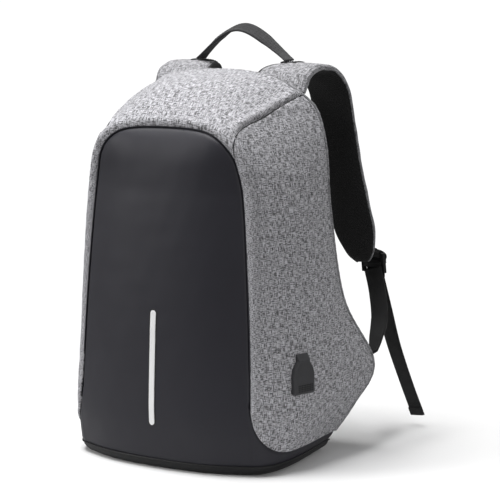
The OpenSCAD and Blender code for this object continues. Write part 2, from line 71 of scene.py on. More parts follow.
ARCH_START, ARCH_CROWN, ARCH_POWER = 4.5, 5.18, 1.9
CROWN_TOP, SIDE_TOP = 6.98, 6.9
WRAP_LOW, WRAP_CORNER, WRAP_REACH = .25, 1.44, .42
HANDLE_Y, HANDLE_HALF, HANDLE_FOOT, HANDLE_RISE = 112, 61, 457.3, 38
HANDLE_LEAN, HANDLE_TILT, CROWN_ROUND = .2, 16, .45
LOCK_AT, LOCK_LEAN, LOCK_TURN = (120, 218, 217), math.radians(8), math.radians(-10)
PORT_SECTION, PORT_SHARE, PORT_WIDTH, PORT_HEIGHT, PORT_DEPTH = 2.01, .38, 32, 46, 7


def curve(line, v):
    """Smooth curve through the points of a line, one unit of v for each."""
    line, v = np.asarray(line, float), np.asarray(v, float)
    slope = np.gradient(line, axis=0)
    i = np.clip(np.floor(v), 0, len(line) - 2).astype(int)
    t = (v - i)[..., None]
    return ((2 * t**3 - 3 * t**2 + 1) * line[i] + (t**3 - 2 * t**2 + t) * slope[i]
            + (3 * t**2 - 2 * t**3) * line[i + 1] + (t**3 - t**2) * slope[i + 1])


def unit(a):
    return a / np.maximum(np.linalg.norm(a, axis=-1, keepdims=True), 1e-9)


def bezier(a, b, c, d, t):
    t = t[..., None]
    return (1 - t)**3 * a + 3 * t * (1 - t)**2 * b + 3 * t**2 * (1 - t) * c + t**3 * d


def front(v, s):
    v, s = np.broadcast_arrays(np.asarray(v, float), np.asarray(s, float))
    f, c, run = curve(FRONT, v), curve(CORNER, v), unit(curve(RUN, v))
    x = c[..., :1]
    p = bezier(f, f + np.array([.55, 0, 0]) * x, c - run * .3 * x, c, np.abs(s))
    p[..., 0] *= np.where(s < 0, -1, 1)
    return p


def side(v, q):
    v, q = np.broadcast_arrays(np.asarray(v, float), np.asarray(q, float))
    c, b = curve(CORNER, v), curve(REAR, v)
    d = np.linalg.norm(b - c, axis=-1, keepdims=True)
    chord = (b - c) / d
    w = np.clip((v - 4.5) / 1.5, 0, 1)[..., None]
    leave = unit(unit(curve(RUN, v)) * (1 - w) + chord * w)
    arrive = unit(np.array([-.06, 1, 0]) * (1 - w) + chord * w)
    return bezier(c, c + leave * np.minimum(40, .4 * d), b - arrive * .3 * d, b, q)


def rear(v, r):
    v, r = np.broadcast_arrays(np.asarray(v, float), np.asarray(r, float))
    b, m = curve(REAR, v), curve(SPINE, v)
    return np.stack([r * b[..., 0], m[..., 1] + (b[..., 1] - m[..., 1]) * r**2,
                     m[..., 2] + (b[..., 2] - m[..., 2]) * np.abs(r)**2.8], -1)


def normal(surface, v, s, turn=1):
    e = .004
    v, s = np.broadcast_arrays(np.asarray(v, float), np.asarray(s, float))
    keep = np.clip(s, -1, 1) * (1 - e)
    across, up = surface(v, keep + e) - surface(v, keep - e), surface(v + e, keep) - surface(v - e, keep)
    return turn * unit(np.cross(across, up))


def spot(surface, v, s):
    """Points of a surface with their outward normals."""
    return surface(v, s), normal(surface, v, s, -1 if surface is rear else 1)


def arch(s):
    return ARCH_START + (ARCH_CROWN - ARCH_START) * np.maximum(0, 1 - np.abs(s)**ARCH_POWER)**(1 / ARCH_POWER)


def wrap_top(q):
    return WRAP_LOW + (WRAP_CORNER - WRAP_LOW) * (1 - np.sqrt(1 - np.maximum(0, 1 - q / WRAP_REACH)**2))


def ring(t, inset, lift=0.0):
    """Point and normal on the back's arched rim: t from -1 at the left hinge end over the top to 1."""
    t = np.asarray(t, float)
    top, low, a = TOP_SECTION - inset / 40, HINGE_SECTION + .1, np.abs(t)
    v = np.where(a < RIM_TOP, top, top - (top - low) * (a - RIM_TOP) / (1 - RIM_TOP))
    reach = 1 - inset / curve(REAR, v)[..., 0]
    r = np.sign(t) * np.where(a < RIM_TOP, reach * a / RIM_TOP, reach)
    p, n = spot(rear, v, r)
    return p + lift * n, n


# ---------------------------------------------------------------- small tools
def spread(n, edge=.25):
    """n numbers from -1 to 1, closer together near both ends."""
    x = np.linspace(-1, 1, n)
    return edge * x + (1 - edge) * np.sin(math.pi / 2 * x)


def spread_up(n):
    """The same from 0 to 1."""
    return (spread(n) + 1) / 2


def right_hand(p):
    """Points with those on the left mirrored to the right."""
    return np.abs(p) * [1, 0, 0] + p * [0, 1, 1]


def turned(a, b, angle):
    return a * math.cos(angle) - b * math.sin(angle), a * math.sin(angle) + b * math.cos(angle)


def bulge(x, power):
    """A power that keeps the sign, which turns a circle into a rounded box."""
    return np.sign(x) * np.abs(x)**power


def lengths(p, axis):
    """Distance along the rows or columns of a grid of points."""
    step = np.linalg.norm(np.diff(p, axis=axis), axis=-1)
    pad = [(0, 0), (0, 0)]
    pad[axis] = (1, 0)
    return np.cumsum(np.pad(step, pad), axis=axis)


def along(path):
    return np.concatenate([[0], np.cumsum(np.linalg.norm(np.diff(path, axis=0), axis=1))])


def resample(path, step):
    """The path's points again, evenly step apart."""
    at = along(path)
    n = max(2, int(round(at[-1] / step)) + 1)
    u = np.linspace(0, at[-1], n)
    return np.stack([np.interp(u, at, path[:, k]) for k in range(path.shape[1])], 1)


def soften(path, times):
    path = path.copy()
    for _ in range(times):
        path[1:-1] = (path[:-2] + 2 * path[1:-1] + path[2:]) / 4
    return path


def nearest(points, path):
    """Distance from each point to a path, and how far along the path that is."""
    flat, at = points.reshape(-1, 3), along(path)
    best, where = np.empty(len(flat)), np.empty(len(flat))
    for i in range(0, len(flat), 2000):
        d = ((flat[i:i + 2000, None] - path[None])**2).sum(-1)
        k = d.argmin(1)
        best[i:i + 2000], where[i:i + 2000] = np.sqrt(d[np.arange(len(k)), k]), at[k]
    return best.reshape(points.shape[:-1]), where.reshape(points.shape[:-1])


def waves(u, v, size, seed, count=12):
    """Soft random relief of about unit height, with features of that size."""
    rng = np.random.default_rng(seed)
    total = 0
    for _ in range(count):
        a, k = rng.uniform(0, TAU), TAU / size * rng.uniform(.6, 1.5)
        total = total + np.sin(k * (u * math.cos(a) + v * math.sin(a)) + rng.uniform(0, TAU))
    return total / math.sqrt(count)


def pucker(where, d, pitch, reach, seed):
    """Small gathers that run away from a seam."""
    rng = np.random.default_rng(seed)
    total = sum(np.sin(TAU * where / (pitch * k) + rng.uniform(0, 6)) for k in (.73, 1, 1.31, 1.9))
    swell = .6 + .4 * np.sin(where / 23 + rng.uniform(0, 6)) * np.sin(where / 41)
    return total / 2 * swell * np.exp(-d / reach)


def bell(x):
    return np.exp(-x**2)


def step_up(x):
    x = np.clip(x, 0, 1)
    return x * x * (3 - 2 * x)


class Piece:
    """Gathers the points, faces and UVs (in metres) of one visible piece."""

    def __init__(self):
        self.points, self.uvs, self.faces, self.corners, self.skins = [], [], [], [], []
        self.n = self.m = 0

    def add(self, points, uvs, faces, corners=None, skin=0):
        points, uvs = np.asarray(points, float).reshape(-1, 3), np.asarray(uvs, float).reshape(-1, 2)
        faces = np.asarray(faces)
        self.faces.append(faces + self.n)
        self.corners.append((faces if corners is None else np.asarray(corners)) + self.m)
        self.skins.append(np.full(len(faces), skin))
        self.points.append(points)
        self.uvs.append(uvs)
        self.n += len(points)
        self.m += len(uvs)

    def slab(self, outer, n, thick, uv=None, flip=False):
        """Closed sheet of cloth whose outer face is the grid outer, with normals n; flip for the rear."""
        if flip:
            outer, n = outer[:, ::-1], n[:, ::-1]
            uv = None if uv is None else uv[:, ::-1]
            thick = thick[:, ::-1] if np.ndim(thick) else thick
        rows, cols = outer.shape[:2]
        if uv is None:
            uv = grid_uv(outer)
        ids = np.arange(rows * cols).reshape(rows, cols)
        deep = ids + rows * cols
        faces = [quads(ids), quads(deep)[:, ::-1], quads(np.stack([deep[0], ids[0]])),
                 quads(np.stack([ids[-1], deep[-1]])), quads(np.stack([deep[:, 0], ids[:, 0]], 1)),
                 quads(np.stack([ids[:, -1], deep[:, -1]], 1))]
        self.add(np.concatenate([outer.reshape(-1, 3), (outer - thick * n).reshape(-1, 3)]),
                 np.concatenate([uv.reshape(-1, 2)] * 2), np.concatenate(faces))
        return self

    def loops(self, rings, skin=0):
        """Closed skin through rings, given as rows x columns x 3, each ring joined end to end."""
        rows, cols = rings.shape[:2]
        ids = np.arange(rows * cols).reshape(rows, cols)
        wide = np.concatenate([rings, rings[:, :1]], 1)
        uv = grid_uv(wide)
        corner = np.arange(rows * (cols + 1)).reshape(rows, cols + 1)
        self.add(rings, uv, quads(np.concatenate([ids, ids[:, :1]], 1)), quads(corner), skin)
        k = np.arange(cols)
        tri = np.stack([k, (k + 1) % cols, np.full(cols, cols)], 1)
        for end, order in ((rings[0], -1), (rings[-1], 1)):
            middle = end.mean(0)
            block = np.concatenate([end, middle[None]])
            flat = block @ np.linalg.svd(block - middle, full_matrices=False)[2][:2].T * MM
            self.add(block, flat, tri[:, ::order], skin=skin)
        return self

    def tube(self, path, radius, sides=8, skin=0):
        """Round cord along a path."""
        t = unit(np.gradient(path, axis=0))
        a = np.cross(t, [0, 0, 1])
        a = np.where(np.linalg.norm(a, axis=1, keepdims=True) < .2, np.cross(t, [0, 1, 0]), a)
        for i in range(1, len(a)):
            a[i] = a[i - 1] - t[i] * (a[i - 1] @ t[i])
        a = unit(a)
        b = np.cross(t, a)
        k = np.linspace(0, TAU, sides, endpoint=False)
        radius = np.broadcast_to(np.asarray(radius, float), len(path))[:, None, None]
        round_it = np.cos(k)[None, :, None] * a[:, None] + np.sin(k)[None, :, None] * b[:, None]
        return self.loops(path[:, None] + radius * round_it, skin)

    def stitches(self, path, n, long=2.8, gap=1.5, radius=.38, skin=0):
        """A row of raised stitches along a path, standing out along its normals."""
        at = along(path)
        starts = np.arange(1, at[-1] - long, long + gap)
        a, b, m = (np.stack([np.interp(starts + x, at, grid[:, k]) for k in range(3)], 1)
                   for x, grid in ((0, path), (long, path), (long / 2, n)))
        w = np.cross(m, unit(b - a))
        shape = []
        for share, wide in ((0, .4), (.3, 1), (.7, 1), (1, .4)):
            centre = a + (b - a) * share + m * radius * .5 * wide
            shape.append(np.stack([centre + side_way * radius * wide for side_way in (w, m, -w, -m)], 1))
        for rings in np.stack(shape, 1):
            self.add(rings, rings.reshape(-1, 3)[:, [0, 2]] * MM, bar_faces(4), skin=skin)
        return self

    def join(self, other):
        """Takes in another piece's points and faces."""
        self.faces += [f + self.n for f in other.faces]
        self.corners += [c + self.m for c in other.corners]
        self.points, self.uvs, self.skins = (
            self.points + other.points, self.uvs + other.uvs, self.skins + other.skins)
        self.n, self.m = self.n + other.n, self.m + other.m

    def mirrored(self):
        """The same piece on the bag's other side, with its threads shifted."""
        other = Piece()
        other.points, other.uvs = [p * [-1, 1, 1] for p in self.points], [u + .37 for u in self.uvs]
        other.faces, other.corners = ([f[:, ::-1] for f in blocks] for blocks in (self.faces, self.corners))
        other.skins, other.n, other.m = self.skins, self.n, self.m
        return other

    def make(self, name, *materials, slot=None, body=None, replaces=(), sharp=40, blend=None):
        mesh = bpy.data.meshes.new(name)
        faces = [f for block in self.faces for f in block.tolist()]
        mesh.from_pydata((np.concatenate(self.points) * MM).tolist(), [], faces)
        uvs = np.concatenate(self.uvs)
        corners = np.concatenate([c.ravel() for c in self.corners])
        mesh.uv_layers.new(name="UVMap").data.foreach_set("uv", uvs[corners].ravel())
        for m in materials:
            mesh.materials.append(m)
        mesh.polygons.foreach_set("material_index", np.concatenate(self.skins).astype(np.int32))
        mesh.polygons.foreach_set("use_smooth", np.ones(len(faces), bool))
        mesh.set_sharp_from_angle(angle=math.radians(sharp))
        mesh.update()
        obj = bpy.data.objects.new(name, mesh)
        scene.collection.objects.link(obj)
        return settle(obj, body, replaces, blend)


def settle(obj, body, replaces=(), blend=None):
    """Parents a piece to its body's empty, or only bakes its transform when given a blend, and hides the CAD
    nodes that it stands for.
    """
    if blend:
        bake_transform(obj)
    else:
        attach(obj, body)
    if replaces:
        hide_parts(*replaces)
    return obj


def apply(obj, name):
    """Bakes a modifier's result into the mesh."""
    deps = bpy.context.evaluated_depsgraph_get()
    mesh = bpy.data.meshes.new_from_object(obj.evaluated_get(deps), depsgraph=deps)
    obj.modifiers.remove(obj.modifiers[name])
    old = obj.data
    obj.data = mesh
    bpy.data.meshes.remove(old)


def weld(obj, reach_mm):
    """Joins points that lie on each other, so that panels become one sheet."""
    made = bmesh.new()
    made.from_mesh(obj.data)
    bmesh.ops.remove_doubles(made, verts=made.verts, dist=reach_mm * MM)
    made.to_mesh(obj.data)
    made.free()


def thicken(obj, thick):
    """Gives an open sheet its thickness, inwards."""
    solid = obj.modifiers.new("thick", "SOLIDIFY")
    solid.thickness, solid.offset = thick * MM, -1
    apply(obj, "thick")


def quads(ids):
    return np.stack([ids[:-1, :-1], ids[:-1, 1:], ids[1:, 1:], ids[1:, :-1]], -1).reshape(-1, 4)


def bar_faces(rings):
    """Faces of a four-sided bar of so many rings, with its two ends."""
    ids = np.arange(4 * rings).reshape(rings, 4)
    return np.concatenate([quads(np.concatenate([ids, ids[:, :1]], 1)), ids[:1, ::-1], ids[-1:]])


def grid_uv(p):
    u, v = lengths(p, 1), lengths(p, 0)
    u = u - u[:, [u.shape[1] // 2]]
    return np.stack([u, v], -1) * MM


def in_mm(uv):
    return uv[..., 0] / MM, uv[..., 1] / MM


def both_sides(piece, name, *materials, body="shell", replaces=(), span=None, **facts):
    """The right-hand piece and its mirror image; a body's name ends in _ where each hand has its own."""
    for build, hand, sign in ((piece, "right", 1), (piece.mirrored(), "left", -1)):
        rides = body + hand if body.endswith("_") else body
        blend = span and ("back", rides, *[(sign * x, y, z) for x, y, z in span])
        build.make(f"{name}_{hand}", *materials, body=rides, blend=blend,
                   replaces=[f"{node}_{hand}" for node in replaces], **facts)


# ---------------------------------------------------------------- materials
class Shader:
    """A Principled material and short calls to add nodes to it."""

    def __init__(self, name, color, rough, **sockets):
        self.material = bpy.data.materials.new(name)
        self.material.use_nodes = True
        self.tree = self.material.node_tree
        self.main = self.tree.nodes["Principled BSDF"]
        self.main.inputs["Base Color"].default_value = (*color, 1)
        self.main.inputs["Roughness"].default_value = rough
        for key, value in sockets.items():
            self.main.inputs[key.replace("_", " ")].default_value = value
        self.material.diffuse_color = (*color, 1)

    def add(self, kind, *inputs, out=0, **props):
        made = self.tree.nodes.new("ShaderNode" + kind)
        for key, value in props.items():
            setattr(made, key, value)
        for key, value in inputs:
            if isinstance(value, bpy.types.NodeSocket):
                self.tree.links.new(value, made.inputs[key])
            else:
                made.inputs[key].default_value = value
        return made.outputs[out]

    def set(self, key, value):
        self.tree.links.new(value, self.main.inputs[key])

    def uv(self, pitch_u, pitch_v, seen=None):
        """Surface coordinates counted in pitches of that many millimetres."""
        at = seen or self.add("UVMap", uv_map="UVMap")
        return self.add("Mapping", (0, at), (3, (1000 / pitch_u, 1000 / pitch_v, 1000 / pitch_u)))

    def place(self):
        """Object coordinates, for pieces with no UV map."""
        return self.add("TexCoord", out="Object")

    def parts(self, vector):
        self.add("SeparateXYZ", (0, vector))
        return self.tree.nodes[-1].outputs

    def flat(self):
        """Object coordinates laid flat on the back's plane."""
        x, _, z = self.parts(self.place())
        return self.add("CombineXYZ", (0, x), (1, z))

    def noise(self, vector, scale=1.0, detail=2.0, rough=.5):
        return self.add("TexNoise", ("Vector", vector), ("Scale", scale), ("Detail", detail),
                        ("Roughness", rough))

    def math(self, what, a, b=0.0, clamp=False):
        return self.add("Math", (0, a), (1, b), operation=what, use_clamp=clamp)

    def ramp(self, value, *stops):
        made = self.tree.nodes.new("ShaderNodeValToRGB")
        self.tree.links.new(value, made.inputs[0])
        band = made.color_ramp
        while len(band.elements) < len(stops):
            band.elements.new(.5)
        for element, (at, color) in zip(band.elements, stops):
            element.position = at
            element.color = (*(color if hasattr(color, "__len__") else (color,) * 3), 1)
        return made.outputs[0]

    def mix(self, share, a, b):
        return self.add("Mix", (0, share), (6, (*a, 1)), (7, (*b, 1)), data_type="RGBA", out=2)

    def tint(self, share, color, low, high):
        """Base colour that runs from low to high times the given one."""
        self.set("Base Color", self.mix(share, [c * low for c in color], [c * high for c in color]))

    def total(self, first, *others):
        """Sum of (value, weight) pairs."""
        made = self.math("MULTIPLY", *first)
        for pair in others:
            made = self.math("ADD", made, self.math("MULTIPLY", *pair))
        return made

    def grainy(self, fine, share, rough):
        self.set("Roughness", self.math("ADD", self.math("MULTIPLY", fine, share), rough))

    def bump(self, height, depth_mm, strength=1.0, under=None):
        extra = [] if under is None else [("Normal", under)]
        return self.add("Bump", ("Height", height), ("Distance", depth_mm * MM), ("Strength", strength),
                        *extra)

    def weave(self, pitch_u, pitch_v):
        """Plain weave: over and under along both threads, from 0 to 1 (the third input stays at .5)."""
        a, b = (self.math("SINE", self.math("MULTIPLY", part, TAU))
                for part in self.parts(self.uv(pitch_u * 2, pitch_v * 2))[:2])
        return self.math("MULTIPLY_ADD", self.math("MULTIPLY", a, b), .5)


def melange(name, dark, light, contrast=1.0):
    """Grey cloth of mixed threads: short light and dark slubs along the warp and the weft."""
    m = Shader(name, [(a + b) / 2 for a, b in zip(dark, light)], .85, Sheen_Weight=.12, Sheen_Roughness=.5)
    warp = m.noise(m.uv(.78, 7), 1, 1)
    weft = m.noise(m.uv(7, .78), 1, 1)
    grain = m.noise(m.uv(.7, .7), 1, 1)
    both = m.total((warp, .42), (weft, .40), (grain, .18))
    reach = .085 / contrast
    middle = [(a * .55 + b * .45) for a, b in zip(dark, light)]
    tone = m.ramp(both, (.5 - reach, dark), (.5, middle), (.5 + reach, light))
    m.set("Base Color", tone)
    m.set("Normal", m.bump(both, .35, .4, m.bump(m.weave(.8, .8), .18, .5)))
    return m.material


def coated(name, color, rough=.5):
    m = Shader(name, color, rough, Specular_IOR_Level=.35, Sheen_Weight=.05)
    cloud = m.noise(m.uv(38, 60), 1, 3)
    fine = m.noise(m.uv(.7, .7), 1, 1)
    m.tint(m.total((cloud, .5), (fine, .5)), color, .82, 1.2)
    m.grainy(fine, .22, rough - .08)
    m.set("Normal", m.bump(m.weave(.45, .45), .06, .5, m.bump(cloud, .5, .25)))
    return m.material


def air_mesh(name, color, flat=False, pitch=3.1):
    """Spacer mesh: a regular net of round holes, with painted shade in the holes."""
    m = Shader(name, color, .8, Sheen_Weight=.05)
    seen = m.flat() if flat else None
    at = m.uv(pitch, pitch, seen=seen)
    total = None
    for k in range(3):
        a = math.radians(60 * k + 30)
        way = (math.cos(a) * TAU, math.sin(a) * TAU, 0)
        wave = m.math("COSINE", m.add("VectorMath", (0, at), (1, way), operation="DOT_PRODUCT", out="Value"))
        total = wave if total is None else m.math("ADD", total, wave)
    hole = m.math("MULTIPLY", m.math("ADD", total, .2), .5, clamp=True)
    knit = m.noise(m.uv(.5, .5, seen=seen), 1, 1)
    # The holes are painted darker than the net: painted shade in the mesh's recesses.
    m.tint(hole, color, 1.5, .25)
    m.set("Normal", m.bump(hole, -.7, .8, m.bump(knit, .2, .5)))
    return m.material


def ribbed(name, color, across=1.1, rough=.7):
    """Webbing or tape: fine ribs across its width with a slight herringbone."""
    m = Shader(name, color, rough, Sheen_Weight=.08, Sheen_Roughness=.4)
    over, along_it, _ = m.parts(m.uv(across, 1.5))
    zig = m.math("ABSOLUTE", m.math("SINE", m.math("MULTIPLY", over, math.pi)))
    rib = m.math("SINE", m.math("ADD", m.math("MULTIPLY", along_it, TAU), m.math("MULTIPLY", zig, 1.6)))
    wear = m.noise(m.uv(9, 14), 1, 3)
    m.tint(m.total((rib, .22), (wear, .9)), color, .6, 1.5)
    m.set("Normal", m.bump(rib, .25, .6, m.bump(zig, .2, .4)))
    return m.material


def moulded(name, color, rough=.42, grain=.35):
    m = Shader(name, color, rough, Specular_IOR_Level=.45)
    at = m.place()
    fine = m.noise(at, 2600, 2)
    cloud = m.noise(at, 60, 2)
    m.tint(cloud, color, .85, 1.18)
    m.grainy(fine, .18, rough - .09)
    m.set("Normal", m.bump(fine, .05, grain))
    return m.material


def metal(name, color, rough=.3):
    m = Shader(name, color, rough, Metallic=1.0)
    fine = m.noise(m.place(), 1500, 3)
    m.grainy(fine, .25, rough - .12)
    m.set("Normal", m.bump(fine, .02, .3))
    return m.material


def reflective(name, color):
    """Silver film of tiny glass beads: a fine grain with a soft metal shine."""
    m = Shader(name, color, .38, Coat_Weight=.2, Coat_Roughness=.3)
    bead = m.noise(m.uv(.35, .35), 1, 1)
    m.set("Base Color", m.mix(bead, [c * .93 for c in color], [min(1, c * 1.06) for c in color]))
    m.set("Normal", m.bump(bead, .03, .4))
    return m.material


def lining(name, color):
    m = Shader(name, color, .55, Sheen_Weight=.1)
    fine = m.noise(m.uv(.6, .6), 1, 1)
    cloud = m.noise(m.uv(45, 30), 1, 3)
    m.tint(m.total((cloud, .6), (fine, .4)), color, .75, 1.25)
    m.set("Normal", m.bump(m.weave(.5, .5), .07, .5, m.bump(cloud, .9, .4)))
    return m.material


GREY = melange("melange_grey", (.10, .099, .104), (.60, .596, .63), 2.7)
# The straps' grey is a darker copy of the same melange cloth: painted shade on the straps.
STRAP_GREY_SHADED = melange("melange_strap_painted_shade", (.085, .084, .088), (.47, .467, .49), 2.1)
HEM = melange("melange_hem", (.08, .08, .083), (.42, .42, .44))
BLACK = coated("coated_black", (.0212, .0205, .0275))
# The base's black is a darker copy of the front's coated cloth: painted shade on the underside.
BASE_BLACK_SHADED = coated("coated_base_painted_shade", (.0095, .0094, .0105))
NET = air_mesh("air_mesh_black", (.006, .006, .0062))
BACK_NET = air_mesh("air_mesh_back", (.021, .021, .022))
# The pads' mesh is a lighter copy of the same air mesh: painted light, so the pads stand out on the unlit
# back.
NET_FLAT_LIT = air_mesh("air_mesh_pads_painted_light", (.034, .034, .036), flat=True)
WEB = ribbed("webbing_black", (.0085, .0085, .0092))
TAPE = ribbed("tape_black", (.016, .016, .017), .8)
GRIP = ribbed("handle_black", (.022, .022, .024), .9, .55)
THREAD = ribbed("thread_black", (.02, .02, .021), .5)
PALE_THREAD = ribbed("thread_grey", (.30, .30, .31), .5)
PLASTIC = moulded("port_black", (.052, .052, .056), .36)
GRILLE = moulded("grille_black", (.004, .004, .0045), .5)
LOCK = moulded("buckle_black", (.012, .012, .013), .35)
ZIP = moulded("zip_black", (.02, .02, .021), .3, .2)
NICKEL = metal("nickel_shell", (.62, .61, .58))
BLACK_METAL = metal("slider_black", (.06, .06, .063), .34)
WHITE = moulded("white_insulator", (.75, .75, .75), .4)
SILVER = reflective("silver_film", (.99, .99, 1.0))
LINER = lining("lining_slate", (.045, .052, .063))

# ---------------------------------------------------------------- seams of the shell
s_fine = np.linspace(-1, 1, 241)
corner_right = front(np.linspace(WRAP_CORNER, ARCH_START, 140), 1.0)
over_front = front(arch(s_fine), s_fine)
ARCH_SEAM = resample(np.concatenate([corner_right * [-1, 1, 1], over_front, corner_right[::-1]]), 1.0)
CROWN_SEAM = resample(front(np.linspace(5.02, SIDE_TOP, 120), 1.0), 1.0)
q_fine = np.linspace(0, 1, 160)
WRAP_SEAM = resample(side(wrap_top(q_fine), q_fine), 1.0)
low_side = side(0, q_fine)
BASE_SEAM = resample(np.concatenate([low_side[::-1] * [-1, 1, 1], front(0, s_fine), low_side]), 1.5)
REAR_SEAM = resample(side(np.linspace(0, TOP_SECTION, 300), 1.0), 1.0)
ROLL_WIDTH = 15


def lift_black(p, u, v):
    """How far the black coated cloth stands off the nominal shape."""
    a, at = nearest(p, ARCH_SEAM)
    c = nearest(right_hand(p), WRAP_SEAM)[0]
    d = nearest(p, BASE_SEAM)[0]
    edge = np.minimum(a, c)
    return (1.3 * (1 - np.exp(-edge / 12)) - 2.0 * bell(a / 2.2) - 1.3 * bell(c / 2.6) - .9 * bell(d / 3)
            + .22 * pucker(at, a, 7, 7, 3) + .45 * waves(u, v, 150, 11) * step_up(edge / 25)
            + .10 * waves(u, v, 34, 12) * step_up(edge / 10))


def lift_grey(p, u, v, crown):
    """How far the grey cloth stands off the nominal shape, with a padded roll round the black arch."""
    q = right_hand(p)
    a, at = nearest(p, ARCH_SEAM)
    b, b_at = nearest(q, CROWN_SEAM)
    c, c_at = nearest(q, WRAP_SEAM)
    e, e_at = nearest(q, REAR_SEAM)
    high = step_up((p[..., 2] - 150) / 180)
    roll = (1.9 + 3.6 * high) * np.sin(math.pi * np.clip(a / ROLL_WIDTH, 0, 1))**.7
    flat = .9 * (1 - np.exp(-np.maximum(a - ROLL_WIDTH, 0) / 9)) - .7 * bell((a - ROLL_WIDTH - 1) / 2) * high
    seam_b = step_up(b_at / 22)
    if crown:
        over = seam_b * (2.6 * bell((b - 7) / 5) - 2.4 * bell(b / 2.4))
    else:
        over = seam_b * (.15 * bell((b - 4) / 3) - .5 * bell(b / 1.1))
    low = .9 * bell((c - 3) / 2.6) - .5 * bell(c / 1.2)
    back = -1.3 * bell(e / 2.2) + .5 * bell((e - 4.5) / 2.4) - .5 * bell((e - 8.2) / 1.1)
    return (roll + flat + over + low * (0 if crown else 1) + back
            + .62 * pucker(at, a, 6.4, 11, 5) * high + .16 * pucker(c_at, c, 7, 6, 6)
            + .2 * pucker(e_at, e, 9, 8, 7)
            + .16 * pucker(b_at, b, 6, 7, 8) * seam_b
            + .55 * waves(u, v, 120, 21 + crown) * step_up(np.minimum(a, e) / 30)
            + .12 * waves(u, v, 26, 23) * step_up(e / 10))


def straight_uv(p):
    """UVs of a side panel with its threads straight up and straight across."""
    u = lengths(p, 1)
    middle = u.shape[1] // 2
    return np.stack([p[:, middle:middle + 1, 1] + u - u[:, middle:middle + 1], p[..., 2]], -1) * MM


def grey_panel(surface, v, s, crown):
    """Points, normals and UVs of a grey panel with its relief."""
    p, n = spot(surface, v, s)
    uv = grid_uv(p)
    return p + n * lift_grey(p, *in_mm(uv), crown)[..., None], n, uv


# ---------------------------------------------------------------- shell
CLOTH, FOAM, FOAM_UNDER, SEAM_GAP = 1.2, 4.4, 1.6, .004
WRAP_ROWS, FRONT_ROWS, ARCH_ROWS, ARCH_SHARE = 46, 81, 9, .09
q = .992 * spread_up(101)
wrap_v = (wrap_top(q) - SEAM_GAP) * np.linspace(0, 1, WRAP_ROWS)[:, None]
wrap, wrap_n = spot(side, wrap_v, q)
rise = np.concatenate([np.linspace(0, 1 - ARCH_SHARE, FRONT_ROWS + 1)[1:],
                       1 - ARCH_SHARE * np.linspace(1, 0, ARCH_ROWS)[1:]**1.5])
edge_v = np.concatenate([wrap_v[:, 0], WRAP_CORNER + (ARCH_START - WRAP_CORNER) * rise])
x = spread(131)
v = edge_v[:, None] * (arch(x) - SEAM_GAP * (1 - np.abs(x)**40)) / ARCH_START
p, n = spot(front, v, x)
outer = p + n * lift_black(p, p[..., 0], p[..., 2])[..., None]
front_uv = grid_uv(p)
piece = Piece()
piece.add(outer, front_uv, quads(np.arange(v.size).reshape(v.shape)))
for sign, col in ((1, -1), (-1, 0)):
    hand = np.array([sign, 1, 1])
    p, n = wrap * hand, wrap_n * hand
    lifted = p + n * lift_black(p, sign * p[..., 1], p[..., 2])[..., None]
    lifted[:, 0] = outer[:WRAP_ROWS, col]
    uv = grid_uv(wrap)
    uv = (uv - uv[:, :1]) * [sign, 1] + front_uv[:WRAP_ROWS, None, col]
    piece.add(lifted, uv, quads(np.arange(wrap_v.size).reshape(wrap_v.shape))[:, ::sign])
cloth = piece.make("front_cloth", BLACK, slot="coated_cloth", body="shell",
                   replaces=["front_panel", "base_wrap_left", "base_wrap_right"])
weld(cloth, .05)
thicken(cloth, CLOTH)

x = .999 * spread(131)
low = arch(x) + SEAM_GAP
outer, n, uv = grey_panel(front, low + (CROWN_TOP - low) * spread_up(91)[:, None], x, True)
uv[..., 1] -= uv[-1:, :, 1]
Piece().slab(outer, n, CLOTH, uv).make(
    "crown_cloth", GREY, slot="melange_cloth", body="shell", replaces=["crown_panel"])

q = .002 + .99 * spread_up(101)
low = wrap_top(q) + SEAM_GAP
outer, n, uv = grey_panel(side, low + (SIDE_TOP - low) * spread_up(161)[:, None], q, False)
both_sides(Piece().slab(outer, n, CLOTH, straight_uv(outer)), "side_cloth", GREY, slot="melange_cloth",
           replaces=["side_panel"])
# Hem stitches along the rear edge, in two rows
piece = Piece()
for share, first, last in ((.957, 8, -14), (.975, 8, 75)):
    col = int(np.abs(q - share).argmin())
    piece.stitches(outer[first:last, col] - .15 * n[first:last, col], n[first:last, col], 3.0, 1.6)
both_sides(piece, "side_stitching", PALE_THREAD, slot="webbing")

# Base: the loop of the lowest section rolled under to a flat bottom
loop = np.concatenate([side(0, np.linspace(1, .03, 40)) * [-1, 1, 1], front(0, np.linspace(-1, 1, 81)),
                       side(0, np.linspace(.03, 1, 40)), rear(0, np.linspace(.96, -.96, 50))])
rings = []
for angle in np.linspace(0, math.pi / 2, 10):
    inset = 11.5 * (1 - math.cos(angle))
    z = 11.6 * (1 - math.sin(angle)) + .02
    rings.append(loop * [1 - inset / 120, 1 - inset / 90, 0] + [0, 0, z])
for k in (.75, .5, .25, .05):
    rings.append(rings[9] * [k, k, 1])
Piece().loops(np.stack(rings)[::-1].copy()).make(
    "base_cloth", BASE_BLACK_SHADED, slot="coated_cloth", body="shell", replaces=["base_panel"])

path = soften(resample(BASE_SEAM, 3), 2)
Piece().tube(path + unit(path * [1, 2, 0]) * .9 - [0, 0, .6], 1.0).make(
    "base_cord", BASE_BLACK_SHADED, slot="coated_cloth", body="shell", replaces=["base_piping"])

path = resample(ARCH_SEAM[40:-40], 2.2)
Piece().tube(path + [0, -.2, 0] * unit(path), .9, 6).make(
    "arch_cord", BLACK, slot="piping_cloth", body="shell", replaces=["front_piping"])

# Dark thread in the seam between the crown and each side, as painted shadow under the crown's overhanging
# edge
path = CROWN_SEAM[3:-3]
path = path + normal(front, np.linspace(5.05, SIDE_TOP - .03, len(path)), 1.0) * .1
both_sides(Piece().tube(path, .75, 6), "crown_seam_shadow_cord", TAPE, slot="piping_cloth")

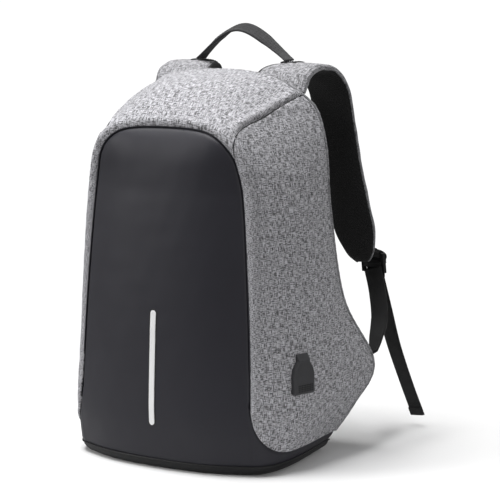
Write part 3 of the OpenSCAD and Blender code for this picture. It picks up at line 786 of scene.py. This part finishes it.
# Hem cord round the whole rear rim, from one base corner over the top to the other
up_rim = np.linspace(WRAP_LOW, TOP_SECTION, 160)
over_rim = rear(TOP_SECTION, np.linspace(.98, -.98, 90))
rim = np.concatenate([rear(up_rim, 1.0), over_rim, rear(up_rim[::-1], -1.0)])
rim = soften(resample(rim, 3), 3)
Piece().tube(rim, 2.0 + .12 * np.sin(np.arange(len(rim)) * 1.7), 8).make(
    "rear_hem_cord", HEM, slot="melange_cloth", body="shell")


def strip(width, length, low, lift, thick):
    """A round-ended strip laid on the front cloth, from that height up."""
    r = width / 2
    end = np.linspace(.02, math.pi / 2, 9)
    rows = np.concatenate([np.stack([r * (1 - np.cos(end)), r * np.sin(end)], 1),
                           np.stack([np.linspace(r, length - r, 60)[1:-1], np.full(58, r)], 1),
                           np.stack([length - r * (1 - np.cos(end)), r * np.sin(end)], 1)[::-1]])
    sections = np.linspace(0, 5, 200)
    v = np.interp(low + rows[:, 0], front(sections, 0)[:, 2], sections)
    half = front(v, .01)[:, 0] / .01
    s = rows[:, 1:] / half[:, None] * np.linspace(-1, 1, 9)
    p, n = spot(front, np.broadcast_to(v[:, None], s.shape), s)
    up = lift_black(p, p[..., 0], p[..., 2]) + lift * (1 - np.linspace(-1, 1, 9)**6 * .35)
    return Piece().slab(p + n * up[..., None], n, thick)


# Reflective strip with its narrow border
strip(10, 134, 51.5, .35, .5).make(
    "strip_border", TAPE, slot="webbing", body="shell", replaces=["strip_surround"])
strip(7, 131, 53, .95, .7).make(
    "strip_film", SILVER, slot="reflective_film", body="shell", replaces=["reflective_strip"])


def lined(surface, v, s, seed):
    """Lining inside the shell: it takes up the foam's thickness, with soft wrinkles on its inner face."""
    p, n = spot(surface, v, s)
    uv = grid_uv(p)
    thick = FOAM + .8 * np.abs(waves(*in_mm(uv), 60, seed))
    return Piece().slab(p - n * FOAM_UNDER, n, thick[..., None], uv)


s = .98 * spread(41)
low = arch(s) + .01
for name, v, node in (
        ("front_lining", (arch(s) - .01) * np.linspace(0, 1, 41)[:, None], "front_foam"),
        ("crown_lining", low + (CROWN_TOP - .04 - low) * np.linspace(0, 1, 31)[:, None], "crown_foam")):
    lined(front, v, s, 31).make(name, LINER, slot="lining", body="shell", replaces=[node])
v = .05 + (SIDE_TOP - .1) * np.linspace(0, 1, 61)[:, None]
both_sides(lined(side, v, .02 + .95 * spread_up(41), 32), "side_lining", LINER, slot="lining",
           replaces=["side_foam"])


def rear_grid(low, high, inset, rows, cols):
    v = np.linspace(low, high, rows)[:, None]
    reach = 1 - inset / curve(REAR, v)[..., 0]
    return np.broadcast_to(v, (rows, cols)), reach * spread(cols, .5)


# Lower back panel below the hinge line
v, r = rear_grid(.03, 1.92, 2.2, 31, 61)
p, n = spot(rear, v, r)
u_mm, v_mm = in_mm(grid_uv(p))
edge = np.minimum(v_mm - v_mm[:1], v_mm[-1:] - v_mm)
puff = 1.6 * (1 - np.exp(-edge / 9)) + .5 * waves(u_mm, v_mm, 70, 41) * step_up(edge / 12)
Piece().slab(p + n * (puff - .6)[..., None], n, 4.6, flip=True).make(
    "lower_back_cloth", BACK_NET, slot="air_mesh", body="shell", replaces=["lower_back_panel"])

# ---------------------------------------------------------------- zips
def tape(inset_a, inset_b, lift, thick, name, body, node):
    t = np.linspace(-1, 1, 241)
    path = [ring(t, k, lift) for k in np.linspace(inset_a, inset_b, 7)]
    p, n = np.stack([a for a, _ in path], 1), np.stack([b for _, b in path], 1)
    made = Piece().slab(p, n, thick)
    line = resample(np.concatenate([p[:, 2], n[:, 2]], 1), 1.5)
    made.stitches(line[:, :3] + unit(line[:, 3:]) * .05, unit(line[:, 3:]), skin=1)
    return made.make(name, TAPE, THREAD, slot="webbing", body=body, replaces=[node])


tape(1.0, 9, 1.9, .8, "zip_cloth_shell", "shell", "zip_tape_shell")
tape(18, 10, 1.9, 4.0, "zip_cloth_back", "back", "zip_tape_back")


def coil(inset, shift, name, body):
    """One side of the zip's coil: a tooth every two millimetres."""
    t = np.linspace(-.995, .995, 1600)
    p, n = ring(t, inset, 1.8)
    line = resample(soften(np.concatenate([p, n], 1), 30), 2.0)
    p, n = line[:, :3], unit(line[:, 3:])
    d = unit(np.gradient(p, axis=0))
    w = np.cross(n, d)
    made = Piece()
    p = p + d * shift
    for i in range(1, len(p) - 1):
        rings = []
        for a, long, tall in ((-1.25, .45, .28), (0, .68, .42), (1.25, .45, .28)):
            c = p[i] + w[i] * a
            rings.append([c + d[i] * x * long + n[i] * y * tall
                          for x, y in ((1, 1), (-1, 1), (-1, -1), (1, -1))])
        made.add(np.array(rings), np.zeros((12, 2)), bar_faces(3))
    return made.make(name, ZIP, slot="buckle_plastic", body=body)


coil(8.5, 0, "zip_coil_shell", "shell")
coil(11.0, 1.0, "zip_coil_back", "back")

# ---------------------------------------------------------------- back panel
BACK_LOW, BACK_HIGH = 2.09, 6.66
v, r = rear_grid(BACK_LOW, BACK_HIGH, 11, 121, 81)
p, n = spot(rear, v, r)
uv = grid_uv(p)
u_mm, v_mm = in_mm(uv)
edge = np.minimum(np.minimum(v_mm - v_mm[:1], v_mm[-1:] - v_mm),
                  np.minimum(np.abs(u_mm - u_mm[:, :1]), np.abs(u_mm[:, -1:] - u_mm)))
spine = bell(u_mm / 14) * step_up((v_mm - 60) / 20)
lift = .9 * (1 - np.exp(-edge / 10)) - 1.6 * spine + .25 * waves(u_mm, v_mm, 60, 43) * step_up(edge / 20)
Piece().slab(p + n * (lift - .5)[..., None], n, 3.4, uv, flip=True).make(
    "back_cloth", BACK_NET, slot="air_mesh", body="back", replaces=["back_panel"])
quilt = .7 * np.abs(np.sin(math.pi * (u_mm + v_mm) / 60) * np.sin(math.pi * (u_mm - v_mm) / 60))**.5
Piece().slab(p - n * 4.2, n, (1.2 + quilt * step_up(edge / 8))[..., None], uv, flip=True).make(
    "back_lining", LINER, slot="lining", body="back", replaces=["back_board"])

# Cloth that closes the hinge line between the lower panel and the back panel
v, r = rear_grid(1.9, 2.13, 9, 13, 61)
p, n = spot(rear, v, r)
fold = np.linspace(0, 1, 13)[:, None]
Piece().slab(p + n * (-1.6 - 2.2 * np.sin(math.pi * fold))[..., None], n, .9, flip=True).make(
    "hinge_cloth", WEB, slot="webbing", blend=("shell", "back", (0, .125, .097), (0, .125, .111)))


def padded(name, low, high, left, right, height, node):
    """A sewn pad with round corners, swollen with cloth simulation."""
    rows, cols = 26, 14
    i, j = np.linspace(0, 1, rows)[:, None], np.linspace(0, 1, cols)
    a, b = 2 * i - 1, 2 * j - 1
    j = .5 + .5 * b * (1 - .22 * np.abs(a)**5)
    p, n = spot(rear, *np.broadcast_arrays(low + (high - low) * i, left + (right - left) * j))
    dome = ((height - 5) * (1 - np.abs(a)**4) * (1 - np.abs(b)**4))[..., None]
    obj = Piece().slab(p + n * (2.2 + dome), n, 1.0 + dome, flip=True).make(
        name, NET_FLAT_LIT, slot="air_mesh", body="back", replaces=[node])
    swell(obj)


def swell(obj, pressure=4.0, voxel=.0045, furthest=.005, frames=20):
    """Voxel remesh, a short cloth simulation with inner pressure, then a cap on how far a point may move."""
    remesh = obj.modifiers.new("remesh", "REMESH")
    remesh.mode, remesh.voxel_size, remesh.use_smooth_shade = "VOXEL", voxel, True
    apply(obj, "remesh")
    rest = np.array([q.co for q in obj.data.vertices])
    cloth = obj.modifiers.new("cloth", "CLOTH")
    cloth.settings.use_pressure = True
    cloth.settings.uniform_pressure_force = pressure
    cloth.settings.mass = .3
    cloth.settings.tension_stiffness = cloth.settings.compression_stiffness = 12
    cloth.settings.effector_weights.gravity = 0
    for f in range(1, frames + 1):
        scene.frame_set(f)
    apply(obj, "cloth")
    scene.frame_set(1)
    move = np.array([q.co for q in obj.data.vertices]) - rest
    move *= np.minimum(1, furthest / np.maximum(np.linalg.norm(move, axis=1), 1e-9))[:, None]
    move[:, 1] = np.maximum(move[:, 1], 0)  # the side against the back panel stays flat
    obj.data.vertices.foreach_set("co", (rest + move).ravel())
    smooth = obj.modifiers.new("smooth", "SUBSURF")
    smooth.levels = smooth.render_levels = 1
    apply(obj, "smooth")
    obj.data.polygons.foreach_set("use_smooth", np.ones(len(obj.data.polygons), bool))


for hand, sign in (("right", 1), ("left", -1)):
    padded(f"back_pad_{hand}_cloth", 3.35, 5.9, sign * .12, sign * .72, 12, f"back_pad_{hand}")
padded("lumbar_pad_cloth", 2.28, 2.7, -.62, .62, 9, "lumbar_pad")

# Luggage band
i, j = np.linspace(0, 1, 21)[:, None], np.linspace(0, 1, 61)
p, n = spot(rear, *np.broadcast_arrays(2.92 + .34 * i, .8 * (2 * j - 1)))
lift = 3.2 + 15.8 * (1 - np.abs(2 * j - 1)**6) + .25 * waves(p[..., 0], p[..., 2], 40, 51)
p = p + n * lift[..., None]
piece = Piece().slab(p, n, 2, flip=True)
for k in (1, 2, 18, 19):
    piece.stitches(p[k] + n[k] * .02, n[k], skin=1)
piece.make("luggage_band", WEB, THREAD, slot="webbing", body="back", replaces=["luggage_strap"])

# ---------------------------------------------------------------- shoulder straps
PAD_HALF, PAD_SIDES, PAD_FACES, TIP_START = 5.5, .62, .72, 9.6
STRAP_SPAN = (.073, .100, .448), (.080, .142, .446)


def strap_frame(u):
    e = .02
    p, a, b = curve(STRAP, u), curve(STRAP, np.maximum(0, u - e)), curve(STRAP, np.minimum(10, u + e))
    t = unit((b - a)[..., :3])
    w = unit(np.array([1, 0, 0]) - t * t[..., :1])
    return p, w, -np.cross(t, w)


def strap_section(u, angle):
    """Points on the pad's rounded section: angle 0 at its outer edge, a quarter turn at its top."""
    p, w, m = strap_frame(u)
    tip = np.where(u > TIP_START, np.sqrt(np.clip(1 - ((u - TIP_START) / .42)**2, .06, 1)), 1)
    c, s = np.cos(angle), np.sin(angle)
    across = p[..., 3] * np.where(u > TIP_START, .35 + .65 * tip, 1) * bulge(c, PAD_SIDES)
    up = PAD_HALF * tip * bulge(s, PAD_FACES)
    point = p[..., :3] + across[..., None] * w + up[..., None] * m
    return point, unit(bulge(c, 1.2)[..., None] * w * .6 + bulge(s, .8)[..., None] * m)


u = np.linspace(.12, math.pi / 2, 12)
u = np.concatenate([np.linspace(0, TIP_START, 150), TIP_START + .4 * np.sin(u)])[:, None]
EDGE, INNER, CREASES = math.radians(12), math.radians(14), (math.radians(28), math.radians(150))
cover = np.linspace(-EDGE, math.pi - INNER, 61)
under = np.linspace(math.pi - INNER * .9, TAU - EDGE * .9, 45)
lengths_u = along(curve(STRAP, u[:, 0])[:, :3])[:, None]
soft = .22 * waves(lengths_u, cover * 30, 34, 61) + .3 * waves(lengths_u, cover * 20, 90, 62)
crease = 1.0 * bell(np.minimum(np.abs(cover - CREASES[0]), np.abs(cover - CREASES[1])) / .09)
p, n = strap_section(*np.broadcast_arrays(u, cover))
piece = Piece().slab(p + n * (soft - crease)[..., None], n, 1.3, flip=True)
for k in (int(np.abs(cover - angle).argmin()) for angle in CREASES):
    piece.stitches(p[6:-10, k] + n[6:-10, k] * -.55, n[6:-10, k], skin=1)
both_sides(piece, "strap_cloth", STRAP_GREY_SHADED, PALE_THREAD, slot="melange_cloth", body="strap_",
           span=STRAP_SPAN, replaces=["strap_root", "strap_cover"])
p, n = strap_section(*np.broadcast_arrays(u, under))
soft = .35 * waves(lengths_u, under * 25, 50, 63)
both_sides(Piece().slab(p + n * (soft - .35)[..., None], n, 2.2, flip=True), "strap_net", NET,
           slot="air_mesh", body="strap_", span=STRAP_SPAN, replaces=["strap_mesh"])
# Binding cord along both edges of the pad
piece = Piece()
for skin, edge in enumerate((-EDGE, math.pi - INNER)):
    p, n = strap_section(u[:, 0], np.full(len(u), edge))
    piece.tube(resample(p - n * .3, 3), 1.25, 7, skin)
both_sides(piece, "strap_binding", HEM, TAPE, slot="melange_cloth", body="strap_", span=STRAP_SPAN)


def ribbon(line, u, thick, widen=1.0, shift=0.0):
    """Flat webbing: a closed band with slightly thinner edges."""
    line = np.asarray(line, float)
    e = .05
    last = len(line) - 1
    p, a, b = curve(line, u), curve(line, np.maximum(0, u - e)), curve(line, np.minimum(last, u + e))
    t = unit((b - a)[:, :3])
    turn = np.radians(p[:, 4])
    w = np.stack([np.cos(turn), np.sin(turn), 0 * turn], 1)
    w = unit(w - t * (t * w).sum(1, keepdims=True))
    m = np.cross(w, t)
    side_at = np.linspace(-1, 1, 13)
    edge = 1 - .35 * np.abs(side_at)**10
    across = widen * p[:, 3, None, None] / 2 * side_at[None, :, None] * w[:, None]
    grid = p[:, None, :3] + across + shift * m[:, None]
    top = grid + (thick / 2 * edge)[None, :, None] * m[:, None]
    normals = np.broadcast_to(m[:, None], top.shape)
    return Piece().slab(top, normals, thick * edge[None, :, None], flip=True), grid, m


def webbing(name, line, count, rows, lap, body, node):
    """A length of webbing with a lap sewn under its end by rows of stitches, on both sides of the bag."""
    piece, grid, m = ribbon(line, np.linspace(0, 4, count), 1.6)
    piece.join(ribbon(line, *lap)[0])
    for k in rows:
        piece.stitches(grid[k, 1:-1] + m[k] * .82, np.broadcast_to(m[k], (11, 3)), 2.2, 1.0, skin=1)
    both_sides(piece, name, WEB, THREAD, slot="webbing", body=body, replaces=[node])


webbing("adjusting_webbing", WEBBING, 81, (38, 41), (np.linspace(1.9, 4, 45), 1.5, .92, -1.75), "strap_",
        "strap_webbing")
webbing("tail_webbing", TAIL, 91, (-7,), (np.linspace(3.78, 3.995, 8), 1.4, .99, -1.55), "buckle_",
        "strap_tail")

# ---------------------------------------------------------------- carry handle
def handle_point(t, across, lift):
    """Points round the handle, t from foot to foot, across and lift in mm, with the band's normal."""
    reach = np.sqrt(t**2 + CROWN_ROUND**2)
    scale = HANDLE_RISE / (math.hypot(1, CROWN_ROUND) - CROWN_ROUND)
    z = scale * (math.hypot(1, CROWN_ROUND) - reach)
    n = unit(np.stack([scale * t / reach, 0 * t, np.full_like(t, HANDLE_HALF)], -1))
    p = np.stack([HANDLE_HALF * t, HANDLE_Y - HANDLE_LEAN * z, HANDLE_FOOT + z], -1)
    tilt = math.radians(HANDLE_TILT) * (1 - t**2)
    wide = np.stack([0 * t, np.cos(tilt), np.sin(tilt)], -1)
    return p[:, None] + across[..., None] * wide[:, None] + lift[..., None] * n[:, None], n


t = np.linspace(-1, 1, 141)
share = np.abs(t)
half = 12 - 1.4 * step_up((share - .55) / .3) + .8 * step_up((share - .93) / .07)
thick = 1.35 + 1.0 * (1 - step_up((share - .5) / .14))
k = np.linspace(0, TAU, 28, endpoint=False)
across, up = half[:, None] * bulge(np.cos(k), .45), thick[:, None] * bulge(np.sin(k), .6)
piece = Piece().loops(handle_point(t, across, up)[0])
row = slice(8, -8)
for place in (-.68, -.26, .26, .68):
    lift = thick[row, None] * (.93 if abs(place) > .5 else 1) - .1
    top, n = handle_point(t[row], place * half[row, None], lift)
    piece.stitches(top[:, 0], n, radius=.32, skin=1)
piece.make("handle_band", GRIP, THREAD, slot="webbing", replaces=["carry_handle", "handle_grip"],
           blend=("back", "handle", (0, .112, .4545), (0, .112, .4700)))

# The sewn patch under each foot, on the strap's root
j = np.linspace(0, 1, 15)
u_p = 2.25 + .95 * j[:, None]
centre = curve(STRAP, u_p[:, 0])[:, 0]
p0, w0, m0 = strap_frame(np.broadcast_to(u_p, (15, 15)))
offset = HANDLE_HALF - 11.5 + 23 * j - centre[:, None]
share = np.clip(np.abs(offset / p0[..., 3]), 0, .999)
rise = PAD_HALF * np.sin(np.arccos(share**(1 / PAD_SIDES)))**PAD_FACES
patch = p0[..., :3] + offset[..., None] * w0 + (rise + 1.3)[..., None] * m0
piece = Piece().slab(patch, m0, 1.6, flip=True)
rim_points, rim_normals = (np.concatenate([g[1, 1:-1], g[1:-1, -2], g[-2, 1:-1][::-1], g[1:-1, 1][::-1]])
                           for g in (patch, m0))
piece.stitches(rim_points, rim_normals, 2.0, 1.1, skin=1)
diag = np.arange(2, 13)
for other in (diag, 14 - diag):
    piece.stitches(patch[diag, other], m0[diag, other], 2.0, 1.1, skin=1)
both_sides(piece, "handle_patch_cloth", TAPE, PALE_THREAD, slot="webbing", body="back",
           replaces=["handle_patch"])

# ---------------------------------------------------------------- pockets, sleeve and small sewn parts
def rounded(half_x, half_y, radius, count):
    """Evenly spaced points round a rounded rectangle, without the closing one."""
    turn, quarter = np.linspace(0, math.pi / 2, 7), math.pi / 2
    ends = [np.stack([sx * (half_x - radius) + radius * np.cos(turn + k * quarter),
                      sy * (half_y - radius) + radius * np.sin(turn + k * quarter)], 1)
            for k, (sx, sy) in enumerate(((1, 1), (-1, 1), (-1, -1), (1, -1)))]
    path = np.concatenate(ends + [ends[0][:1]])
    at = along(path)
    u = np.linspace(0, at[-1], count + 1)[:-1]
    return np.stack([np.interp(u, at, path[:, k]) for k in range(2)], 1)


def pouch(name, node, body, half_low, half_high, half_y, height, wall, centre, lean=0.0, quilt=0.0, seed=0):
    """Open-topped pocket of padded cloth with a bound mouth and a row of stitches below it."""
    count, levels = 120, np.linspace(0, 1, 40)

    def ring_of(h, inset, low=0.0):
        half = half_low + (half_high - half_low) * h - inset
        flat = rounded(half, half_y - inset, 4.5 - inset * .6, count)
        z = low + (height - low) * h
        soft = .35 * waves(flat[:, 0] + flat[:, 1], z, 34, seed) * math.sin(math.pi * h)**.5
        channel = bell((np.mod(flat[:, 0] + 14, 28) - 14) / 1.6)
        groove = quilt * channel * (np.abs(flat[:, 1]) > half_y - inset - 1)
        scale = 1 - (soft + groove)[:, None] / np.maximum(np.linalg.norm(flat, axis=1, keepdims=True), 20)
        shrunk = flat * scale if inset == 0 else flat
        return np.stack([shrunk[:, 0], *turned(shrunk[:, 1], z, math.radians(lean))], 1) + centre

    rings = [ring_of(h, 0) for h in levels] + [ring_of(h, wall, wall) for h in levels[::-1]]
    made = Piece().loops(np.stack(rings))
    mouth = ring_of(1, wall / 2)
    made.tube(np.concatenate([mouth, mouth[:3]]), wall / 2 + .45, 8, 1)
    row = np.concatenate([ring_of(.97, 0), ring_of(.97, 0)[:1]])
    out = unit((row - centre) * [1, 1, 0] * [half_y / half_low, 1, 0])
    made.stitches(row, out, 2.8, 1.5, skin=2)
    return made.make(name, LINER, TAPE, THREAD, slot="lining", body=body, replaces=[node])


pouch("laptop_sleeve_cloth", "laptop_sleeve", "back", 122, 98, 15, 247, 3, (0, 49.6, 125), quilt=1.0, seed=71)
pouch("organiser_pocket_cloth", "organiser_pocket", "shell", 80, 80, 8.5, 150, 1.5, (0, -63.5, 60), lean=-1.5,
      seed=72)
pouch("power_bank_pocket_cloth", "power_bank_pocket", "shell", 10, 10, 42, 96, 1.5, (94, -4, 26), seed=73)

# Closing strap of the sleeve, with a round end
rows = np.linspace(0, 1, 41)[:, None]
cols = np.linspace(-1, 1, 13)
half = 15 * np.sqrt(1 - np.clip((.16 - rows) / .16, 0, .98)**2)
y = 33.0 + .5 * np.sin(3 * rows) - .3 * cols**8
grid = np.stack(np.broadcast_arrays(half * cols, y, 322 + 62 * rows), -1)
piece = Piece().slab(grid, np.broadcast_to([0, -1.0, 0], grid.shape), 1.4)
edge_path = np.concatenate([grid[38:5:-1, 1], grid[5, 1:-1], grid[5:39, -2]])
piece.stitches(edge_path - [0, .1, 0], np.broadcast_to([0, -1.0, 0], edge_path.shape), skin=1)
piece.make("sleeve_strap_cloth", TAPE, THREAD, slot="webbing", body="back", replaces=["sleeve_strap"])

# Folded tab sewn into the wing's tip
down = np.linspace(-16, -1, 19)[:, None]
lean = math.radians(-25)
wide = np.linspace(0, 10, 9)
thick_y = 4.9 + .35 * np.cos(down * .9) + 0 * wide
tab = np.stack(np.broadcast_arrays(wide, *turned(thick_y, down, lean)), -1) + [150, 135, 102]
out = np.broadcast_to([0, math.cos(lean), math.sin(lean)], tab.shape)
piece = Piece().slab(tab, out, 1.5, flip=True)
for k in (3, 15):
    piece.stitches(tab[k, 1:-1], out[k, 1:-1], 1.6, .8, .3, skin=1)
both_sides(piece, "wing_tab_cloth", TAPE, THREAD, slot="webbing", replaces=["wing_tab"])

# Short loop of webbing from the pad's tip round the ladder lock's bar
turn = np.radians(np.linspace(90, 300, 29))
path = np.concatenate([np.stack([np.linspace(13, .6, 12), np.full(12, 2.85)], 1),
                       2.85 * np.stack([np.cos(turn), np.sin(turn)], 1),
                       [[3.2, -1.1], [4.8, .2], [6.5, .85], [9, 1.05], [13, 1.1]]])
path = soften(resample(path, .6), 2)
along_path = np.gradient(path, axis=0)
facing = unit(np.stack([-along_path[:, 1], along_path[:, 0]], 1))
facing *= np.sign((facing[:1] * [0, 1]).sum())
tongue, lift_way = np.radians([140, 50])
x_at = np.linspace(-12, 12, 13)


def along_tongue(pair):
    """Turns (along the loop's tongue, above it) into (y, z) about the ladder lock's top bar."""
    return pair @ np.array([[math.cos(tongue), math.sin(tongue)], [math.cos(lift_way), math.sin(lift_way)]])


def in_lock(x, pair, place=1):
    """Grid of points, or of directions when place is 0, from x and (y, z) about the ladder lock's top bar."""
    y, z = turned(pair[:, :1], pair[:, 1:], LOCK_LEAN)
    return place * np.array(LOCK_AT) + np.stack(np.broadcast_arrays(*turned(x, y, LOCK_TURN), z), -1)


grid = in_lock(x_at, along_tongue(path))
out = in_lock(0 * x_at, along_tongue(facing), 0)
piece = Piece().slab(grid + .65 * out, out, 1.3)
piece.stitches(grid[9, 1:-1] + .68 * out[9, 1:-1], out[9, 1:-1], 2.2, 1.0, skin=1)
both_sides(piece, "buckle_loop_cloth", WEB, THREAD, slot="webbing", body="strap_", replaces=["buckle_loop"])

# The webbing's turn over the ladder lock's middle bar, from the tail up and over and down behind
turn = np.radians(np.linspace(0, 180, 25))
path = np.concatenate([[[3.6, -28.5], [3.5, -24], [3.3, -19], [3.0, -14.5]],
                       np.stack([2.8 * np.cos(turn), 2.8 * np.sin(turn) - 11], 1),
                       [[-2.9, -13], [-3.2, -15.6]]])
path = soften(resample(path, .6), 2)
facing = np.gradient(path, axis=0) @ np.array([[0, -1], [1, 0]])
grid, out = in_lock(1.065 * x_at, path), in_lock(0 * x_at, unit(facing), 0)
both_sides(Piece().slab(grid + .7 * out, out, 1.4), "threaded_webbing", WEB, slot="webbing", body="buckle_")

# The ladder lock's lifting tab, moulded across the outer side of its frame
LOCK_HALF, TAB_THICK = 16.5, 1.7
x_tab, z_tab = np.linspace(-1, 1, 41), np.linspace(0, 1, 25)
round_end = np.sqrt(1 - np.clip((z_tab - .55) / .47, 0, 1)**2)
held = 1 - step_up((z_tab[:, None] - .25) / .2)
bridge = 4.3 - 1.9 * x_tab[None]**8 * held + 2.2 * np.sin(math.pi * z_tab[:, None])**.8 * (1 - x_tab[None]**4)
pairs = np.stack(np.broadcast_arrays(bridge, -10.5 + 15.5 * z_tab[:, None]), -1)
grid = np.stack([in_lock(LOCK_HALF * x_tab[i] * round_end[:, None], pairs[:, i])[:, 0] for i in range(41)], 1)
out = np.broadcast_to(in_lock(np.zeros(1), np.array([[1.0, 0.0]]), 0)[0, 0], grid.shape)
both_sides(Piece().slab(grid + TAB_THICK * out, out, TAB_THICK, flip=True), "buckle_tab", LOCK,
           slot="buckle_plastic", body="buckle_")

# Cloth-covered board on the floor of the bag
outline = soften(loop, 2) * [1, 1, 0]
edge_rings = (.02, 12.1), (.5, 12.1), (.86, 12.1), (.885, 12.6), (.89, 13.2), (.885, 13.8)
rings = [outline * [k, k, 1] + [0, 0, z] for k, z in edge_rings]
for k in np.linspace(.87, .02, 26):
    at = outline * k
    top = 14.0 + .25 * waves(at[:, 0], at[:, 1], 45, 74) - .5 * bell((k - .82) * 40)
    rings.append(at + top[:, None] * [0, 0, 1])
Piece().loops(np.stack(rings)).make(
    "base_lining", LINER, slot="lining", body="shell", replaces=["base_board"])

# Small raised dots low on the charging port's face
port_at, port_out = spot(side, PORT_SECTION, PORT_SHARE)
port_up = unit(np.array([0, 0, 1]) - port_out * port_out[2])
port_across = np.cross(port_up, port_out)
turn = np.linspace(0, TAU, 8, endpoint=False)
round_dot = np.cos(turn)[:, None] * port_across + np.sin(turn)[:, None] * port_up
dot = np.stack([radius * round_dot + lift * port_out for radius, lift in ((.85, -.1), (.85, .3), (.6, .45))])
piece = Piece()
for across_at in np.linspace(-.31, .33, 9) * PORT_WIDTH:
    for up_at in np.linspace(-.41, -.27, 4) * PORT_HEIGHT:
        piece.loops(port_at + port_across * across_at + port_up * up_at + port_out * PORT_DEPTH + dot)
piece.make("port_grille", GRILLE, slot="port_plastic", body="shell")

# ---------------------------------------------------------------- CAD nodes that keep their own shape
KEPT = {"usb_housing": (PLASTIC, .35), "usb_socket": (NICKEL, .2), "usb_tongue": (WHITE, .2),
        "usb_backplate": (PLASTIC, .4), "ladder_lock_left": (LOCK, .6), "ladder_lock_right": (LOCK, .6),
        "zip_slider": (BLACK_METAL, .3), "zip_pull": (ZIP, .35)}
for name, (material, round_mm) in KEPT.items():
    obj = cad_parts[name]
    obj.data.materials.clear()
    obj.data.materials.append(material)
    bevel = obj.modifiers.new("soft_edges", "BEVEL")
    bevel.width, bevel.segments = round_mm * MM, 3
    bevel.limit_method, bevel.angle_limit = "ANGLE", math.radians(35)
    obj.data.polygons.foreach_set("use_smooth", np.ones(len(obj.data.polygons), bool))
    obj.modifiers.new("even_normals", "WEIGHTED_NORMAL").keep_sharp = True

# ---------------------------------------------------------------- floor, light and camera
def area(name, at, aim, size, power, color=(1, 1, 1)):
    light = bpy.data.lights.new(name, "AREA")
    light.shape, light.size, light.energy, light.color = "DISK", size, power, color
    obj = bpy.data.objects.new(name, light)
    obj.location = at
    obj.rotation_mode = "QUATERNION"
    obj.rotation_quaternion = (Vector(aim) - Vector(at)).to_track_quat("-Z", "Y")
    scene.collection.objects.link(obj)


floor_mesh = bpy.data.meshes.new("floor")
floor_mesh.from_pydata([(-6, -6, 0), (6, -6, 0), (6, 6, 0), (-6, 6, 0)], [], [(0, 1, 2, 3)])
floor = bpy.data.objects.new("floor", floor_mesh)
scene.collection.objects.link(floor)
floor_shader = Shader("pale_floor", (.93, .93, .93), .9, Specular_IOR_Level=.1)
far = floor_shader.add("VectorMath", (0, floor_shader.place()), operation="LENGTH", out="Value")
away = floor_shader.math("DIVIDE", far, 2.0)
seen_directly = floor_shader.add("LightPath", out="Is Camera Ray")
floor_shader.set("Base Color", floor_shader.mix(seen_directly, (.62, .62, .62), (.97, .97, .97)))
floor_shader.set("Alpha", floor_shader.ramp(away, (.11, 1.0), (.32, 0.0)))
floor_mesh.materials.append(floor_shader.material)

world = bpy.data.worlds.new("studio")
scene.world = world
world.use_nodes = True
tree = world.node_tree
mixed = tree.nodes.new("ShaderNodeMixShader")
tree.links.new(tree.nodes.new("ShaderNodeLightPath").outputs["Is Camera Ray"], mixed.inputs[0])
skies = tree.nodes["Background"], tree.nodes.new("ShaderNodeBackground")
for place, sky, strength in zip((1, 2), skies, (.16, 1.05)):
    sky.inputs[0].default_value, sky.inputs[1].default_value = (1, 1, 1, 1), strength
    tree.links.new(sky.outputs[0], mixed.inputs[place])
tree.links.new(mixed.outputs[0], tree.nodes["World Output"].inputs[0])

area("top", (-.35, -.25, 2.1), (0, 0, .4), 1.3, 49)
area("key", (-1.9, -1.7, 1.15), (0, 0, .25), 1.0, 26)
area("fill", (2.4, -.9, .7), (0, 0, .2), 1.2, 15)
area("rim", (.6, 2.2, 1.2), (0, 0, .25), 1.2, 8)
scene.view_settings.view_transform = "Standard"

aim = Vector((.0523, .0359, .2405))
camera = bpy.data.objects.new("camera", bpy.data.cameras.new("camera"))
scene.collection.objects.link(camera)
camera.location = Vector((1.1618, -1.8399, .5673))
camera.rotation_mode = "QUATERNION"
camera.rotation_quaternion = (aim - camera.location).to_track_quat("-Z", "Y")
camera.data.lens, camera.data.sensor_width = 136.46, 36
camera.data.clip_start, camera.data.clip_end = .05, 60
scene.camera = camera
